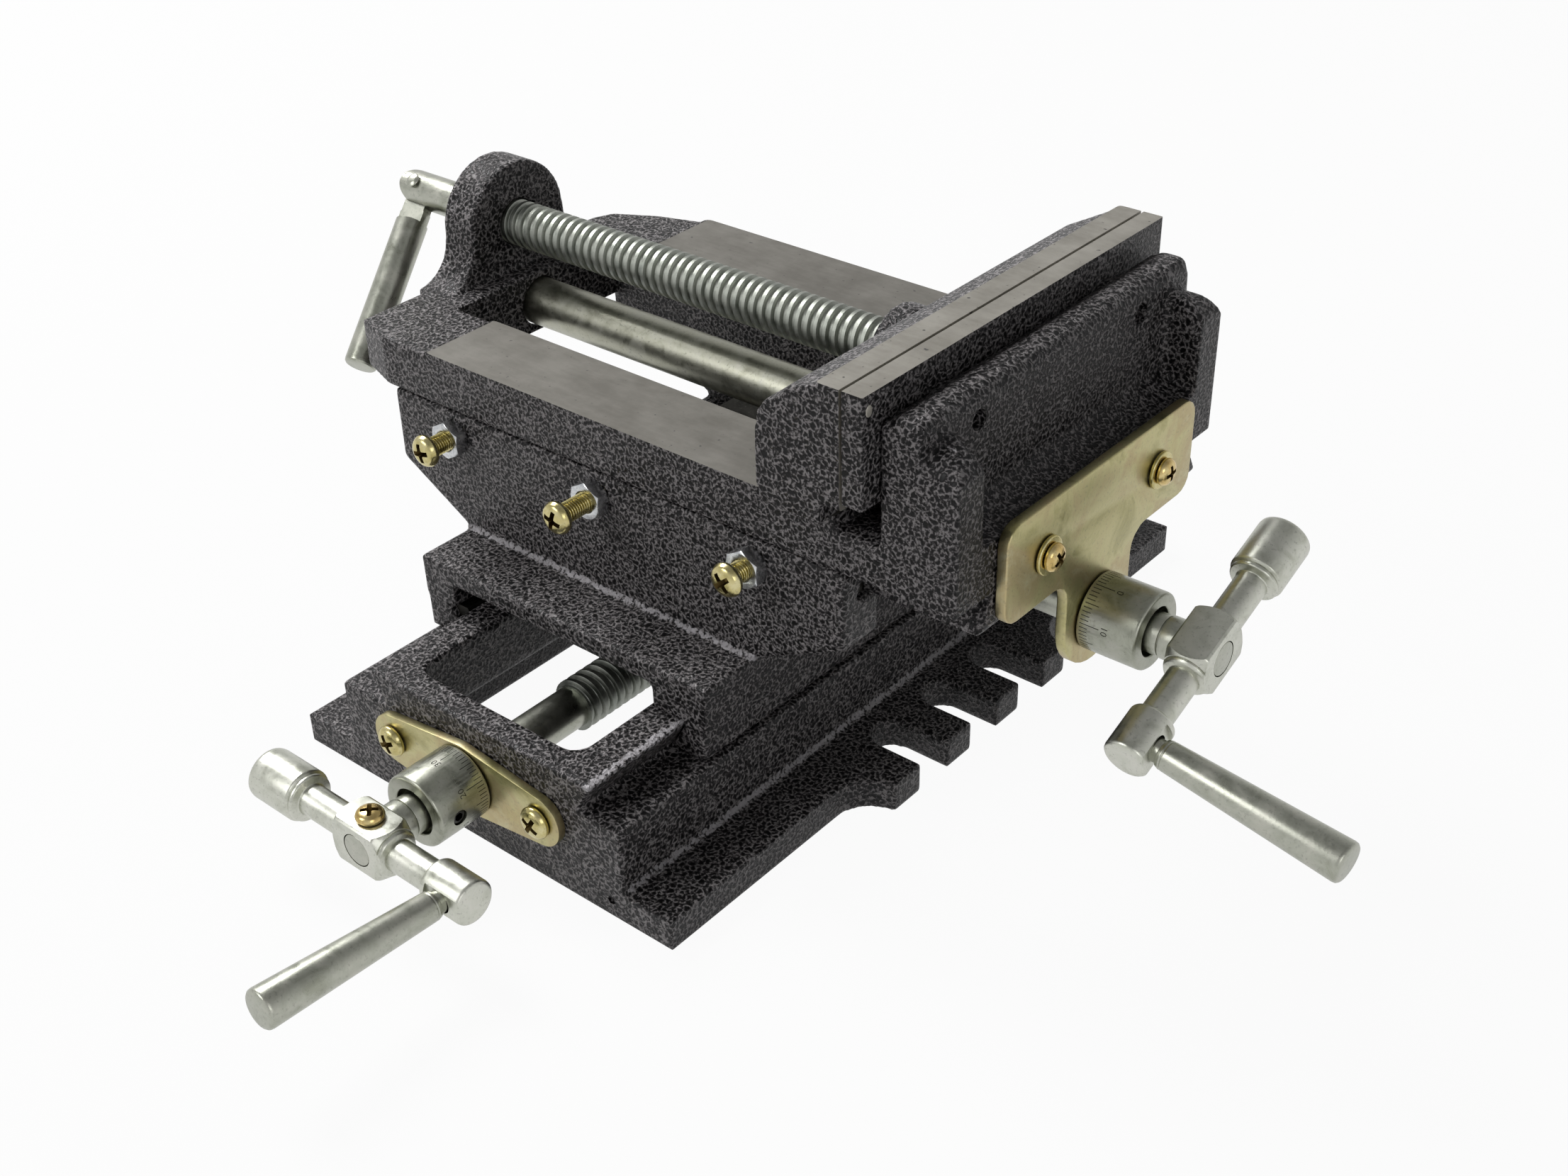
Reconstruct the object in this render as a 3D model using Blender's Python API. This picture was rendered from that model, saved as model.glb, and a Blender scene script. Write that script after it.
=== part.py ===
"""A cross vise: a drill press vise on two screw-driven dovetail slides.

Metres, +Z up. The origin is at the middle of the base's underside. X runs along the jaw
screw, towards the fixed jaw. Y runs along the base's dovetail, away from the front crank.
The jaws are closed and both slides stand where the lead screws hold them in use.
"""
from math import atan2, cos, hypot, pi, radians, sin, tan

import bmesh
import bpy
from mathutils import Matrix, Vector

for old in list(bpy.data.objects):
    bpy.data.objects.remove(old, do_unlink=True)

MM = 0.001
GAP = 0.3 * MM                       # between pieces that touch on the real vise
FINE = 28                            # sides of the larger round pieces
COARSE = 16                          # sides of screws and small holes

# Base casting
BASE_LENGTH = 232 * MM
BASE_WIDTH = 136 * MM
FLANGE_THICKNESS = 9 * MM
EAR_REACH = 10.7 * MM                # how far the slotted ears stand past the flange
EAR_TAB = 11.5 * MM                  # one tab between two slots
SLOT_WIDTH = 11.8 * MM
SLOT_DEPTH = 20 * MM
SLOT_COUNT = 3
EAR_FAIRING = 12 * MM                # radius of the curve from the flange to the ear
RAIL_WIDTH = 102 * MM                # the raised block that carries the slide
RAIL_OFFSET = 1.5 * MM
SHOULDER_HEIGHT = 28.5 * MM
BASE_WALL = 7 * MM                   # side walls round the hollow underside
BASE_END_WALL = 8 * MM
DECK_THICKNESS = 18 * MM
WINDOW_WIDTH = 58 * MM
WINDOW_OFFSET = 2.5 * MM

# Dovetails
DOVETAIL_ANGLE = radians(60)
Y_TAIL_HEIGHT = 9.5 * MM
Y_TAIL_ROOT = 70 * MM                # narrow width of the base's dovetail
Y_TAIL_OFFSET = 3.5 * MM             # the gib takes its room on the left
Y_GIB_ROOM = 5.5 * MM
X_TAIL_HEIGHT = 9.8 * MM
X_TAIL_ROOT = 88 * MM                # narrow width of the body's dovetail
X_GIB_ROOM = 4.5 * MM
SLIDE_FIT = 0.35 * MM                # running clearance of a gib, measured level

# Saddle casting
SADDLE_LOWER_LENGTH = 150 * MM       # along Y
SADDLE_LOWER_WIDTH = 104 * MM
SADDLE_DRAFT = 1.5 * MM
SADDLE_LOWER_HEIGHT = 22.4 * MM      # from the base's shoulders to the ledge
SADDLE_DECK = 6 * MM
SADDLE_UPPER_LENGTH = 157 * MM       # along X
SADDLE_UPPER_OFFSET = 2 * MM
SADDLE_UPPER_WIDTH = 114 * MM
SADDLE_UPPER_HEIGHT = 35.5 * MM      # from the ledge to the top
SADDLE_SHOULDER_RISE = 14.2 * MM     # above the ledge, where its ends stop slanting
SADDLE_CAVITY_WIDTH = 87 * MM
TUNNEL_WIDTH = 73 * MM
TUNNEL_OFFSET = -3.5 * MM

# Vise body
BODY_MIDDLE_Y = -7.5 * MM            # the body's middle plane, where the saddle stands
BODY_LEFT = -92 * MM
BODY_LENGTH = 204 * MM
BODY_WIDTH = 114 * MM
BODY_THICKNESS = 15 * MM             # from the saddle's top to the ways
WAY_INSET = 31 * MM                  # the ground strips start here, from the left end
WAY_STEP = 0.5 * MM                  # unground surface below the ways
OPENING_WIDTH = 64 * MM
LEFT_END_WALL = 16 * MM
RIGHT_END_WALL = 30 * MM
END_WALL_RISE = 6.1 * MM             # the left end wall stops short of the tail's underside
CORNER_X = 13 * MM
CORNER_Y = 4.5 * MM
FAR_CORNER_X = 34 * MM               # the far left corner is cut much wider
FAR_CORNER_Y = 19 * MM
LUG_THICKNESS = 12.5 * MM
LUG_RADIUS = 18 * MM
LUG_OVERHANG = 3 * MM                # past the body's end
LUG_FILLET = 12 * MM

# Jaws
JAW_WIDTH = 124.5 * MM
JAW_HEIGHT = 36.5 * MM               # above the ways
JAW_INSET = 28.4 * MM                # from the closed moving jaw's face to the body's right end
JAW_GAP = 0.8 * MM                   # seen between the closed jaws
MOVING_JAW_THICKNESS = 24.8 * MM
GROUND_STRIP = 6.1 * MM
PLATE_THICKNESS = 5.7 * MM
PLATE_HEIGHT = 28.7 * MM
JAW_CHAMFER_X = 18 * MM              # cut off the moving jaw's far back corner
JAW_CHAMFER_Y = 22 * MM
PAD_HEIGHT = 2.4 * MM                # bosses that the jaw plate is bolted against
PAD_RADIUS = 8 * MM
FIXED_WALL = 9 * MM
FIXED_DROP = 5.7 * MM                # the fixed jaw's top, below the jaw tops
FIXED_ROUND = 7 * MM
BUTTRESS_WIDTH = 10.5 * MM
BUTTRESS_DROP = 14.2 * MM
BUTTRESS_ROUND = 9 * MM
JAW_STEP = 5.9 * MM                  # notch at the foot of the moving jaw
RELIEF_DEPTH = 3.4 * MM              # groove at the foot of the fixed jaw
PLATE_SCREW_SPACING = 69 * MM
PLATE_SCREW_DROP = 13.2 * MM
PLATE_SCREW_RADIUS = 2.1 * MM

# Jaw screw, guide bar and folding handle
JAW_SCREW_RISE = 12.7 * MM           # above the ways
JAW_SCREW_RADIUS = 6.6 * MM
JAW_SHAFT_RADIUS = 5.4 * MM
JAW_THREAD_OVERHANG = 5 * MM         # thread seen outside the lug when the jaws are closed
JAW_SHAFT_OVERHANG = 37 * MM         # past the body's left end
JAW_BOSS_RADIUS = 12.5 * MM
JAW_BOSS_LENGTH = 6 * MM
JAW_SOCKET_DEPTH = 16 * MM
RETAINER_RADIUS = 1.5 * MM
GUIDE_BAR_DROP = 10.1 * MM           # below the ways
GUIDE_BAR_RADIUS = 7 * MM
FOLD_PIN_RADIUS = 1.8 * MM
FOLD_PIN_INSET = 5.5 * MM            # from the screw's end
FOLD_PIN_TILT = radians(49)          # how far the screw has turned the pin out of the level
FOLD_BAR_RADIUS = 4.8 * MM
FOLD_BAR_LENGTH = 58.5 * MM          # from the pin
FOLD_TANG_LENGTH = 9 * MM
FOLD_TANG_THICKNESS = 3.4 * MM
FOLD_TANG_RADIUS = 3.4 * MM
FOLD_ANGLE = radians(103.5)          # from straight out of the screw

# Lead screws, brackets, dials and cranks
LEAD_RADIUS = 7.2 * MM
LEAD_NECK_RADIUS = 5.8 * MM
LEAD_NECK_LENGTH = 28 * MM           # plain length behind the bracket
JOURNAL_RADIUS = 4.6 * MM
X_LEAD_RISE = 11.1 * MM              # above the saddle's ledge
Y_LEAD_DROP = 7.3 * MM               # below the base's shoulders
X_THREAD_INSET = 22 * MM             # from the body's left end
Y_THREAD_INSET = 8 * MM              # from the base's far wall
NUT_LENGTH = 22 * MM
NUT_WIDTH = 22 * MM
X_PLATE_THICKNESS = 3 * MM
X_PLATE_WIDTH = 83 * MM
X_PLATE_DROP = 9.2 * MM              # below the body's underside
X_PLATE_HEIGHT = 26.5 * MM
X_PLATE_CORNER = 5 * MM
X_TONGUE_RADIUS = 14.5 * MM
X_TONGUE_FILLET = 6 * MM
X_BRACKET_SPACING = 50 * MM
X_BRACKET_RISE = 12.8 * MM           # above the plate's lower edge
Y_PLATE_THICKNESS = 2.4 * MM
Y_PLATE_MIDDLE_RADIUS = 10.6 * MM
Y_PLATE_END_RADIUS = 7.4 * MM
Y_BRACKET_SPACING = 53.4 * MM
DIAL_RADIUS = 10.2 * MM
DIAL_LENGTH = 16.4 * MM
DIAL_BORE = 6.2 * MM
HUB_STANDOFF = 7.5 * MM              # from the dial's face to the crank
HUB_THICKNESS = 11 * MM
HUB_LENGTH = 16 * MM
HUB_HEIGHT = 13.5 * MM
HUB_SHAFT_RADIUS = 4.4 * MM
ARM_RADIUS = 4.2 * MM
WEIGHT_REACH = 40.5 * MM
WEIGHT_LENGTH = 17 * MM
WEIGHT_RADIUS = 7.1 * MM
KNUCKLE_REACH = 36 * MM
KNUCKLE_LENGTH = 13.5 * MM
KNUCKLE_RADIUS = 6 * MM
HANDLE_LENGTH = 54.4 * MM            # from the knuckle's middle
HANDLE_ROOT_RADIUS = 3.7 * MM
HANDLE_TIP_RADIUS = 5.2 * MM
X_CRANK_ANGLE = radians(20)          # the counterweight's side, above level
Y_CRANK_ANGLE = radians(-1.5)
X_HANDLE_LEAN = radians(6)           # the grips flare a little away from the hub
Y_HANDLE_LEAN = radians(-1.9)
HANDLE_TILT = radians(-3.6)

# Screws and nuts
GIB_SCREW_RADIUS = 2.4 * MM
GIB_SCREW_HEAD_RADIUS = 4 * MM
GIB_SCREW_HEAD_HEIGHT = 2.8 * MM
GIB_SCREW_SHARE = 0.335              # of the saddle's length, from one gib screw to the next
GIB_SCREW_COUNT = 3
X_GIB_SCREW_DROP = 6.9 * MM          # below the saddle's top
Y_GIB_SCREW_RISE = 4.8 * MM          # above the base's shoulders
X_GIB_STICKOUT = (10 * MM, 13 * MM, 8.5 * MM)     # casting face to the head's underside
Y_GIB_STICKOUT = (9 * MM, 11 * MM, 9.5 * MM)
NUT_FLATS = 8 * MM
NUT_HEIGHT = 4 * MM
BRACKET_SCREW_RADIUS = 2 * MM
BRACKET_HEAD_RADIUS = 4 * MM
BRACKET_HEAD_HEIGHT = 2.4 * MM
BRACKET_SCREW_REACH = 7 * MM
WASHER_RADIUS = 5 * MM
WASHER_THICKNESS = 0.9 * MM
SET_SCREW_RADIUS = 1.8 * MM
CLAMP_SCREW_RADIUS = 1.8 * MM
CLAMP_HEAD_RADIUS = 3.6 * MM
CLAMP_HEAD_HEIGHT = 2.2 * MM

# Heights and edges that follow from the sizes above
SLOPE = 1 / tan(DOVETAIL_ANGLE)
BASE_TOP = SHOULDER_HEIGHT + Y_TAIL_HEIGHT
RAIL_LEFT = RAIL_OFFSET - RAIL_WIDTH / 2
RAIL_RIGHT = RAIL_OFFSET + RAIL_WIDTH / 2
SADDLE_LEDGE_Z = SHOULDER_HEIGHT + SADDLE_LOWER_HEIGHT
SADDLE_SHOULDER_Z = SADDLE_LEDGE_Z + SADDLE_SHOULDER_RISE
SADDLE_TOP = SADDLE_LEDGE_Z + SADDLE_UPPER_HEIGHT
SADDLE_UPPER_LEFT = SADDLE_UPPER_OFFSET - SADDLE_UPPER_LENGTH / 2
SADDLE_UPPER_RIGHT = SADDLE_UPPER_OFFSET + SADDLE_UPPER_LENGTH / 2
SADDLE_BOTTOM = SHOULDER_HEIGHT + GAP
TAIL_POCKET_TOP = BASE_TOP + GAP
TUNNEL_TOP = SADDLE_LEDGE_Z - SADDLE_DECK
BODY_BOTTOM = SADDLE_TOP + GAP
BODY_RIGHT = BODY_LEFT + BODY_LENGTH
WAY_TOP = BODY_BOTTOM + BODY_THICKNESS
WAY_LEFT = BODY_LEFT + WAY_INSET
OPENING_LEFT = BODY_LEFT + LEFT_END_WALL
OPENING_RIGHT = BODY_RIGHT - RIGHT_END_WALL
X_TAIL_BOTTOM = BODY_BOTTOM - X_TAIL_HEIGHT
END_WALL_UNDERSIDE = X_TAIL_BOTTOM + END_WALL_RISE
X_FLOOR = X_TAIL_BOTTOM - GAP
BODY_NEAR = BODY_MIDDLE_Y - BODY_WIDTH / 2
BODY_FAR = BODY_MIDDLE_Y + BODY_WIDTH / 2
SADDLE_NEAR = BODY_MIDDLE_Y - SADDLE_UPPER_WIDTH / 2
SADDLE_FAR = BODY_MIDDLE_Y + SADDLE_UPPER_WIDTH / 2
JAW_TOP = WAY_TOP + JAW_HEIGHT
JAW_LINE_X = BODY_RIGHT - JAW_INSET
JAW_LEFT = JAW_LINE_X - MOVING_JAW_THICKNESS
JAW_BOTTOM = WAY_TOP + GAP
PLATE_FRONT = JAW_LINE_X + JAW_GAP
PLATE_BACK = PLATE_FRONT + PLATE_THICKNESS
PLATE_BOTTOM = JAW_TOP - PLATE_HEIGHT
PLATE_SCREW_Z = JAW_TOP - PLATE_SCREW_DROP
WALL_FRONT = PLATE_BACK + GAP + PAD_HEIGHT
WALL_BACK = WALL_FRONT + FIXED_WALL
FIXED_TOP = JAW_TOP - FIXED_DROP
BUTTRESS_TOP = JAW_TOP - BUTTRESS_DROP
LUG_LEFT = BODY_LEFT - LUG_OVERHANG
LUG_RIGHT = LUG_LEFT + LUG_THICKNESS
JAW_SCREW_Z = WAY_TOP + JAW_SCREW_RISE
JAW_THREAD_LEFT = LUG_LEFT - JAW_THREAD_OVERHANG
JAW_SHAFT_LEFT = BODY_LEFT - JAW_SHAFT_OVERHANG
FOLD_PIN_X = JAW_SHAFT_LEFT + FOLD_PIN_INSET
GUIDE_BAR_Z = WAY_TOP - GUIDE_BAR_DROP
X_LEAD_Z = SADDLE_LEDGE_Z + X_LEAD_RISE
Y_LEAD_Z = SHOULDER_HEIGHT - Y_LEAD_DROP
X_THREAD_LEFT = BODY_LEFT + X_THREAD_INSET
Y_THREAD_FAR = BASE_LENGTH / 2 - BASE_END_WALL - Y_THREAD_INSET
X_PLATE_BOTTOM = BODY_BOTTOM - X_PLATE_DROP
X_BRACKET_Z = X_PLATE_BOTTOM + X_BRACKET_RISE
X_GIB_SCREW_Z = SADDLE_TOP - X_GIB_SCREW_DROP
Y_GIB_SCREW_Z = SHOULDER_HEIGHT + Y_GIB_SCREW_RISE
X_GIB_SPACING = GIB_SCREW_SHARE * SADDLE_UPPER_LENGTH
Y_GIB_SPACING = GIB_SCREW_SHARE * SADDLE_LOWER_LENGTH


def material(name, colour, roughness, metallic):
    """A plain shader material with the finish seen on the real piece."""
    made = bpy.data.materials.new(name)
    made.use_nodes = True
    shader = made.node_tree.nodes["Principled BSDF"]
    shader.inputs["Base Color"].default_value = (*colour, 1)
    shader.inputs["Roughness"].default_value = roughness
    shader.inputs["Metallic"].default_value = metallic
    return made


PAINT = material("Hammered charcoal paint", (0.045, 0.043, 0.045), 0.45, 0.2)
GROUND = material("Ground cast iron", (0.33, 0.31, 0.28), 0.4, 1)
ZINC = material("Zinc plated steel", (0.55, 0.56, 0.53), 0.3, 1)
POLISHED = material("Bright drawn steel", (0.6, 0.6, 0.56), 0.2, 1)
YELLOW = material("Yellow zinc plate", (0.5, 0.42, 0.2), 0.35, 1)
BRASS = material("Yellow zinc screws", (0.6, 0.46, 0.18), 0.3, 1)


def finish(mesh_builder, name, finish_material, smooth=True):
    """Turns a bmesh into a named object with its faces pointing out."""
    bmesh.ops.recalc_face_normals(mesh_builder, faces=mesh_builder.faces)
    mesh = bpy.data.meshes.new(name)
    mesh_builder.to_mesh(mesh)
    mesh_builder.free()
    if smooth:
        mesh.shade_smooth()
        mesh.set_sharp_from_angle(angle=radians(35))
    made = bpy.data.objects.new(name, mesh)
    bpy.context.scene.collection.objects.link(made)
    if finish_material is not None:
        mesh.materials.append(finish_material)
    return made


AXES = {
    "X": (Vector((0, 1, 0)), Vector((0, 0, 1)), Vector((1, 0, 0))),
    "Y": (Vector((1, 0, 0)), Vector((0, 0, 1)), Vector((0, 1, 0))),
    "Z": (Vector((1, 0, 0)), Vector((0, 1, 0)), Vector((0, 0, 1))),
}


def prism(name, outline, axis, start, end, finish_material=None):
    """Extrudes an outline, given in the plane across the axis, from start to end."""
    across, up, along = AXES[axis]
    builder = bmesh.new()
    corners = [builder.verts.new(across * a + up * b + along * start) for a, b in outline]
    face = builder.faces.new(corners)
    grown = bmesh.ops.extrude_face_region(builder, geom=[face])
    moved = [item for item in grown["geom"] if isinstance(item, bmesh.types.BMVert)]
    bmesh.ops.translate(builder, verts=moved, vec=along * (end - start))
    return finish(builder, name, finish_material)


def box(name, x, y, z, finish_material=None):
    """A box between the two values of each pair."""
    outline = ((x[0], y[0]), (x[1], y[0]), (x[1], y[1]), (x[0], y[1]))
    return prism(name, outline, "Z", z[0], z[1], finish_material)


def turned(name, profile, place, direction, sides, finish_material=None):
    """Turns a profile of (distance along, radius) points round an axis."""
    builder = bmesh.new()
    turn = Vector(direction).to_track_quat("Z", "Y").to_matrix().to_4x4()
    rings = []
    for along, radius in profile:
        if radius == 0:
            rings.append([builder.verts.new((0, 0, along))])
            continue
        rings.append([
            builder.verts.new((radius * cos(2 * pi * k / sides), radius * sin(2 * pi * k / sides), along))
            for k in range(sides)
        ])
    for lower, upper in zip(rings, rings[1:]):
        for k in range(sides):
            n = (k + 1) % sides
            if len(lower) == 1:
                builder.faces.new((lower[0], upper[n], upper[k]))
            elif len(upper) == 1:
                builder.faces.new((lower[k], lower[n], upper[0]))
            else:
                builder.faces.new((lower[k], lower[n], upper[n], upper[k]))
    for ring in (rings[0], rings[-1]):
        if len(ring) > 1:
            builder.faces.new(ring)
    bmesh.ops.transform(builder, matrix=Matrix.Translation(Vector(place)) @ turn, verts=builder.verts)
    return finish(builder, name, finish_material)


def cylinder(name, place, direction, length, radius, sides, finish_material=None):
    """A plain round bar from a place along a direction."""
    return turned(name, ((0, radius), (length, radius)), place, direction, sides, finish_material)


def combine(target, tool, operation):
    """Adds a live Boolean, and keeps the tool as a wire guide that is not part of the model."""
    change = target.modifiers.new(tool.name, "BOOLEAN")
    change.operation = operation
    change.solver = "EXACT"
    change.object = tool
    tool.hide_render = True
    tool.display_type = "WIRE"
    tool.parent = target


def cut(target, tool):
    combine(target, tool, "DIFFERENCE")


def weld(target, tool):
    combine(target, tool, "UNION")


def arc(centre, radius, start, end, steps):
    """Points on an arc, angles in degrees, both ends included."""
    return [
        (centre[0] + radius * cos(radians(start + (end - start) * k / steps)),
         centre[1] + radius * sin(radians(start + (end - start) * k / steps)))
        for k in range(steps + 1)
    ]


def tangent_hull(circles, steps=10):
    """The outline of a belt round two or three circles given as (centre, radius)."""
    points = []
    for (x, y), radius in circles:
        points += [(x + radius * cos(2 * pi * k / (4 * steps)), y + radius * sin(2 * pi * k / (4 * steps)))
                   for k in range(4 * steps)]
    points = sorted(set((round(a, 7), round(b, 7)) for a, b in points))

    def half(ordered):
        chain = []
        for point in ordered:
            while len(chain) > 1:
                (ax, ay), (bx, by) = chain[-2:]
                if (bx - ax) * (point[1] - ay) - (by - ay) * (point[0] - ax) > 0:
                    break
                chain.pop()
            chain.append(point)
        return chain[:-1]

    return half(points) + half(points[::-1])


def row(count, spacing, middle=0.0):
    """Places of evenly spaced copies about a middle."""
    return [middle + (k - (count - 1) / 2) * spacing for k in range(count)]


# Base casting: a hollow cast bed with a dovetail on top and slotted ears on both sides
def build_base():
    half_length = BASE_LENGTH / 2
    half_width = BASE_WIDTH / 2
    root = Y_TAIL_ROOT / 2
    flare = Y_TAIL_HEIGHT * SLOPE
    section = [
        (-half_width, 0), (half_width, 0), (half_width, FLANGE_THICKNESS),
        (RAIL_RIGHT, FLANGE_THICKNESS), (RAIL_RIGHT, SHOULDER_HEIGHT),
        (Y_TAIL_OFFSET + root, SHOULDER_HEIGHT), (Y_TAIL_OFFSET + root + flare, BASE_TOP),
        (Y_TAIL_OFFSET - root - flare, BASE_TOP), (Y_TAIL_OFFSET - root, SHOULDER_HEIGHT),
        (RAIL_LEFT, SHOULDER_HEIGHT), (RAIL_LEFT, FLANGE_THICKNESS), (-half_width, FLANGE_THICKNESS),
    ]
    base = prism("base_casting", section, "Y", -half_length, half_length, PAINT)

    ear_half = ((SLOT_COUNT + 1) * EAR_TAB + SLOT_COUNT * SLOT_WIDTH) / 2
    reach = half_width + EAR_REACH
    inside = half_width - SLOT_DEPTH
    for side in (-1, 1):
        edge = arc((half_width + EAR_FAIRING, -ear_half - EAR_REACH - EAR_FAIRING * 0.1), EAR_FAIRING, 180, 110, 5)
        outline = [(inside, edge[0][1])] + edge + [(reach, -ear_half)]
        outline += [(x, -y) for x, y in reversed(outline)]
        ear = prism(f"ear_{side}", [(side * x, y) for x, y in outline], "Z", 0, FLANGE_THICKNESS)
        weld(base, ear)
        for k, place in enumerate(row(SLOT_COUNT, EAR_TAB + SLOT_WIDTH)):
            round_x = reach - SLOT_DEPTH + SLOT_WIDTH / 2
            curve = arc((round_x, place), SLOT_WIDTH / 2, 270, 90, 8)
            slot = [(reach + EAR_REACH, place + SLOT_WIDTH / 2), (reach + EAR_REACH, place - SLOT_WIDTH / 2)] + curve
            cut(base, prism(f"slot_{side}_{k}", [(side * x, y) for x, y in slot], "Z", -GAP, FLANGE_THICKNESS + GAP))

    inner = half_length - BASE_END_WALL
    cut(base, box("base_hollow", (RAIL_LEFT + BASE_WALL, RAIL_RIGHT - BASE_WALL), (-inner, inner),
                  (-GAP, BASE_TOP - DECK_THICKNESS)))
    corner = 5 * MM
    half_window = WINDOW_WIDTH / 2
    window = []
    for (x, y), start in (((1, -1), 270), ((1, 1), 0), ((-1, 1), 90), ((-1, -1), 180)):
        centre = (WINDOW_OFFSET + x * (half_window - corner), y * (inner - corner))
        window += arc(centre, corner, start, start + 90, 4)
    cut(base, prism("base_window", window, "Z", 0, BASE_TOP + GAP))
    cut(base, cylinder("y_bearing", (0, -half_length - GAP, Y_LEAD_Z), (0, 1, 0), BASE_END_WALL + 2 * GAP,
                       LEAD_NECK_RADIUS + GAP, FINE))
    for k, place in enumerate(row(2, Y_BRACKET_SPACING)):
        cut(base, cylinder(f"y_bracket_tap_{k}", (place, -half_length - GAP, Y_LEAD_Z), (0, 1, 0),
                           BRACKET_SCREW_REACH + 2 * GAP, BRACKET_SCREW_RADIUS + GAP, COARSE))
    return base


# Saddle casting: dovetail below for the base, dovetail above for the vise body, at right angles
def build_saddle():
    half_width = SADDLE_LOWER_WIDTH / 2
    lower_near = BODY_MIDDLE_Y - SADDLE_LOWER_LENGTH / 2
    lower_far = BODY_MIDDLE_Y + SADDLE_LOWER_LENGTH / 2
    section = [(-half_width + SADDLE_DRAFT, SADDLE_BOTTOM), (half_width - SADDLE_DRAFT, SADDLE_BOTTOM),
               (half_width, SADDLE_LEDGE_Z), (-half_width, SADDLE_LEDGE_Z)]
    saddle = prism("saddle_casting", section, "Y", lower_near, lower_far, PAINT)
    left_end, right_end = SADDLE_UPPER_LEFT, SADDLE_UPPER_RIGHT
    seat = SADDLE_LEDGE_Z - GAP
    upper = [(-half_width, seat), (half_width, seat), (half_width, SADDLE_LEDGE_Z),
             (right_end, SADDLE_SHOULDER_Z), (right_end, SADDLE_TOP),
             (left_end, SADDLE_TOP), (left_end, SADDLE_SHOULDER_Z), (-half_width, SADDLE_LEDGE_Z)]
    weld(saddle, prism("saddle_upper", upper, "Y", SADDLE_NEAR, SADDLE_FAR))

    # The groove under the saddle: the base's dovetail, the gib's room on the left, the nut tunnel
    root = Y_TAIL_ROOT / 2 + SLIDE_FIT
    flare = (TAIL_POCKET_TOP - SHOULDER_HEIGHT) * SLOPE
    left = Y_TAIL_OFFSET - root - Y_GIB_ROOM
    right = Y_TAIL_OFFSET + root
    tunnel = (TUNNEL_OFFSET - TUNNEL_WIDTH / 2, TUNNEL_OFFSET + TUNNEL_WIDTH / 2)
    groove = [
        (left, SHOULDER_HEIGHT), (right, SHOULDER_HEIGHT), (right + flare, TAIL_POCKET_TOP),
        (tunnel[1], TAIL_POCKET_TOP), (tunnel[1], TUNNEL_TOP), (tunnel[0], TUNNEL_TOP),
        (tunnel[0], TAIL_POCKET_TOP), (left - flare, TAIL_POCKET_TOP),
    ]
    cut(saddle, prism("saddle_groove", groove, "Y", lower_near - GAP, lower_far + GAP))

    # The channel on top: the body's dovetail, the gib's room on the near side, the screw cavity
    near_root, far_root = x_tail_edges()
    flare = (SADDLE_TOP - X_FLOOR) * SLOPE
    low_near = near_root - X_GIB_ROOM
    low_far = far_root + SLIDE_FIT
    half_cavity = SADDLE_CAVITY_WIDTH / 2
    channel = [
        (low_near, SADDLE_TOP + GAP), (low_near, SADDLE_TOP), (low_near - flare, X_FLOOR),
        (BODY_MIDDLE_Y - half_cavity, X_FLOOR), (BODY_MIDDLE_Y - half_cavity, SADDLE_LEDGE_Z),
        (BODY_MIDDLE_Y + half_cavity, SADDLE_LEDGE_Z), (BODY_MIDDLE_Y + half_cavity, X_FLOOR),
        (low_far + flare, X_FLOOR), (low_far, SADDLE_TOP), (low_far, SADDLE_TOP + GAP),
    ]
    cut(saddle, prism("saddle_channel", channel, "X", left_end - GAP, right_end + GAP))

    for k, place in enumerate(row(GIB_SCREW_COUNT, X_GIB_SPACING)):
        reach = low_near - SADDLE_NEAR
        cut(saddle, cylinder(f"x_gib_tap_{k}", (place, SADDLE_NEAR - GAP, X_GIB_SCREW_Z), (0, 1, 0), reach,
                             GIB_SCREW_RADIUS + GAP, COARSE))
    for k, place in enumerate(row(GIB_SCREW_COUNT, Y_GIB_SPACING, BODY_MIDDLE_Y)):
        reach = left + half_width
        cut(saddle, cylinder(f"y_gib_tap_{k}", (-half_width - GAP, place, Y_GIB_SCREW_Z), (1, 0, 0), reach,
                             GIB_SCREW_RADIUS + GAP, COARSE))
    return saddle


def x_tail_edges():
    """Near and far edge of the body's dovetail at its root; the gib takes room on the near side."""
    middle = BODY_MIDDLE_Y + X_GIB_ROOM / 2
    return middle - X_TAIL_ROOT / 2, middle + X_TAIL_ROOT / 2


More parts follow.
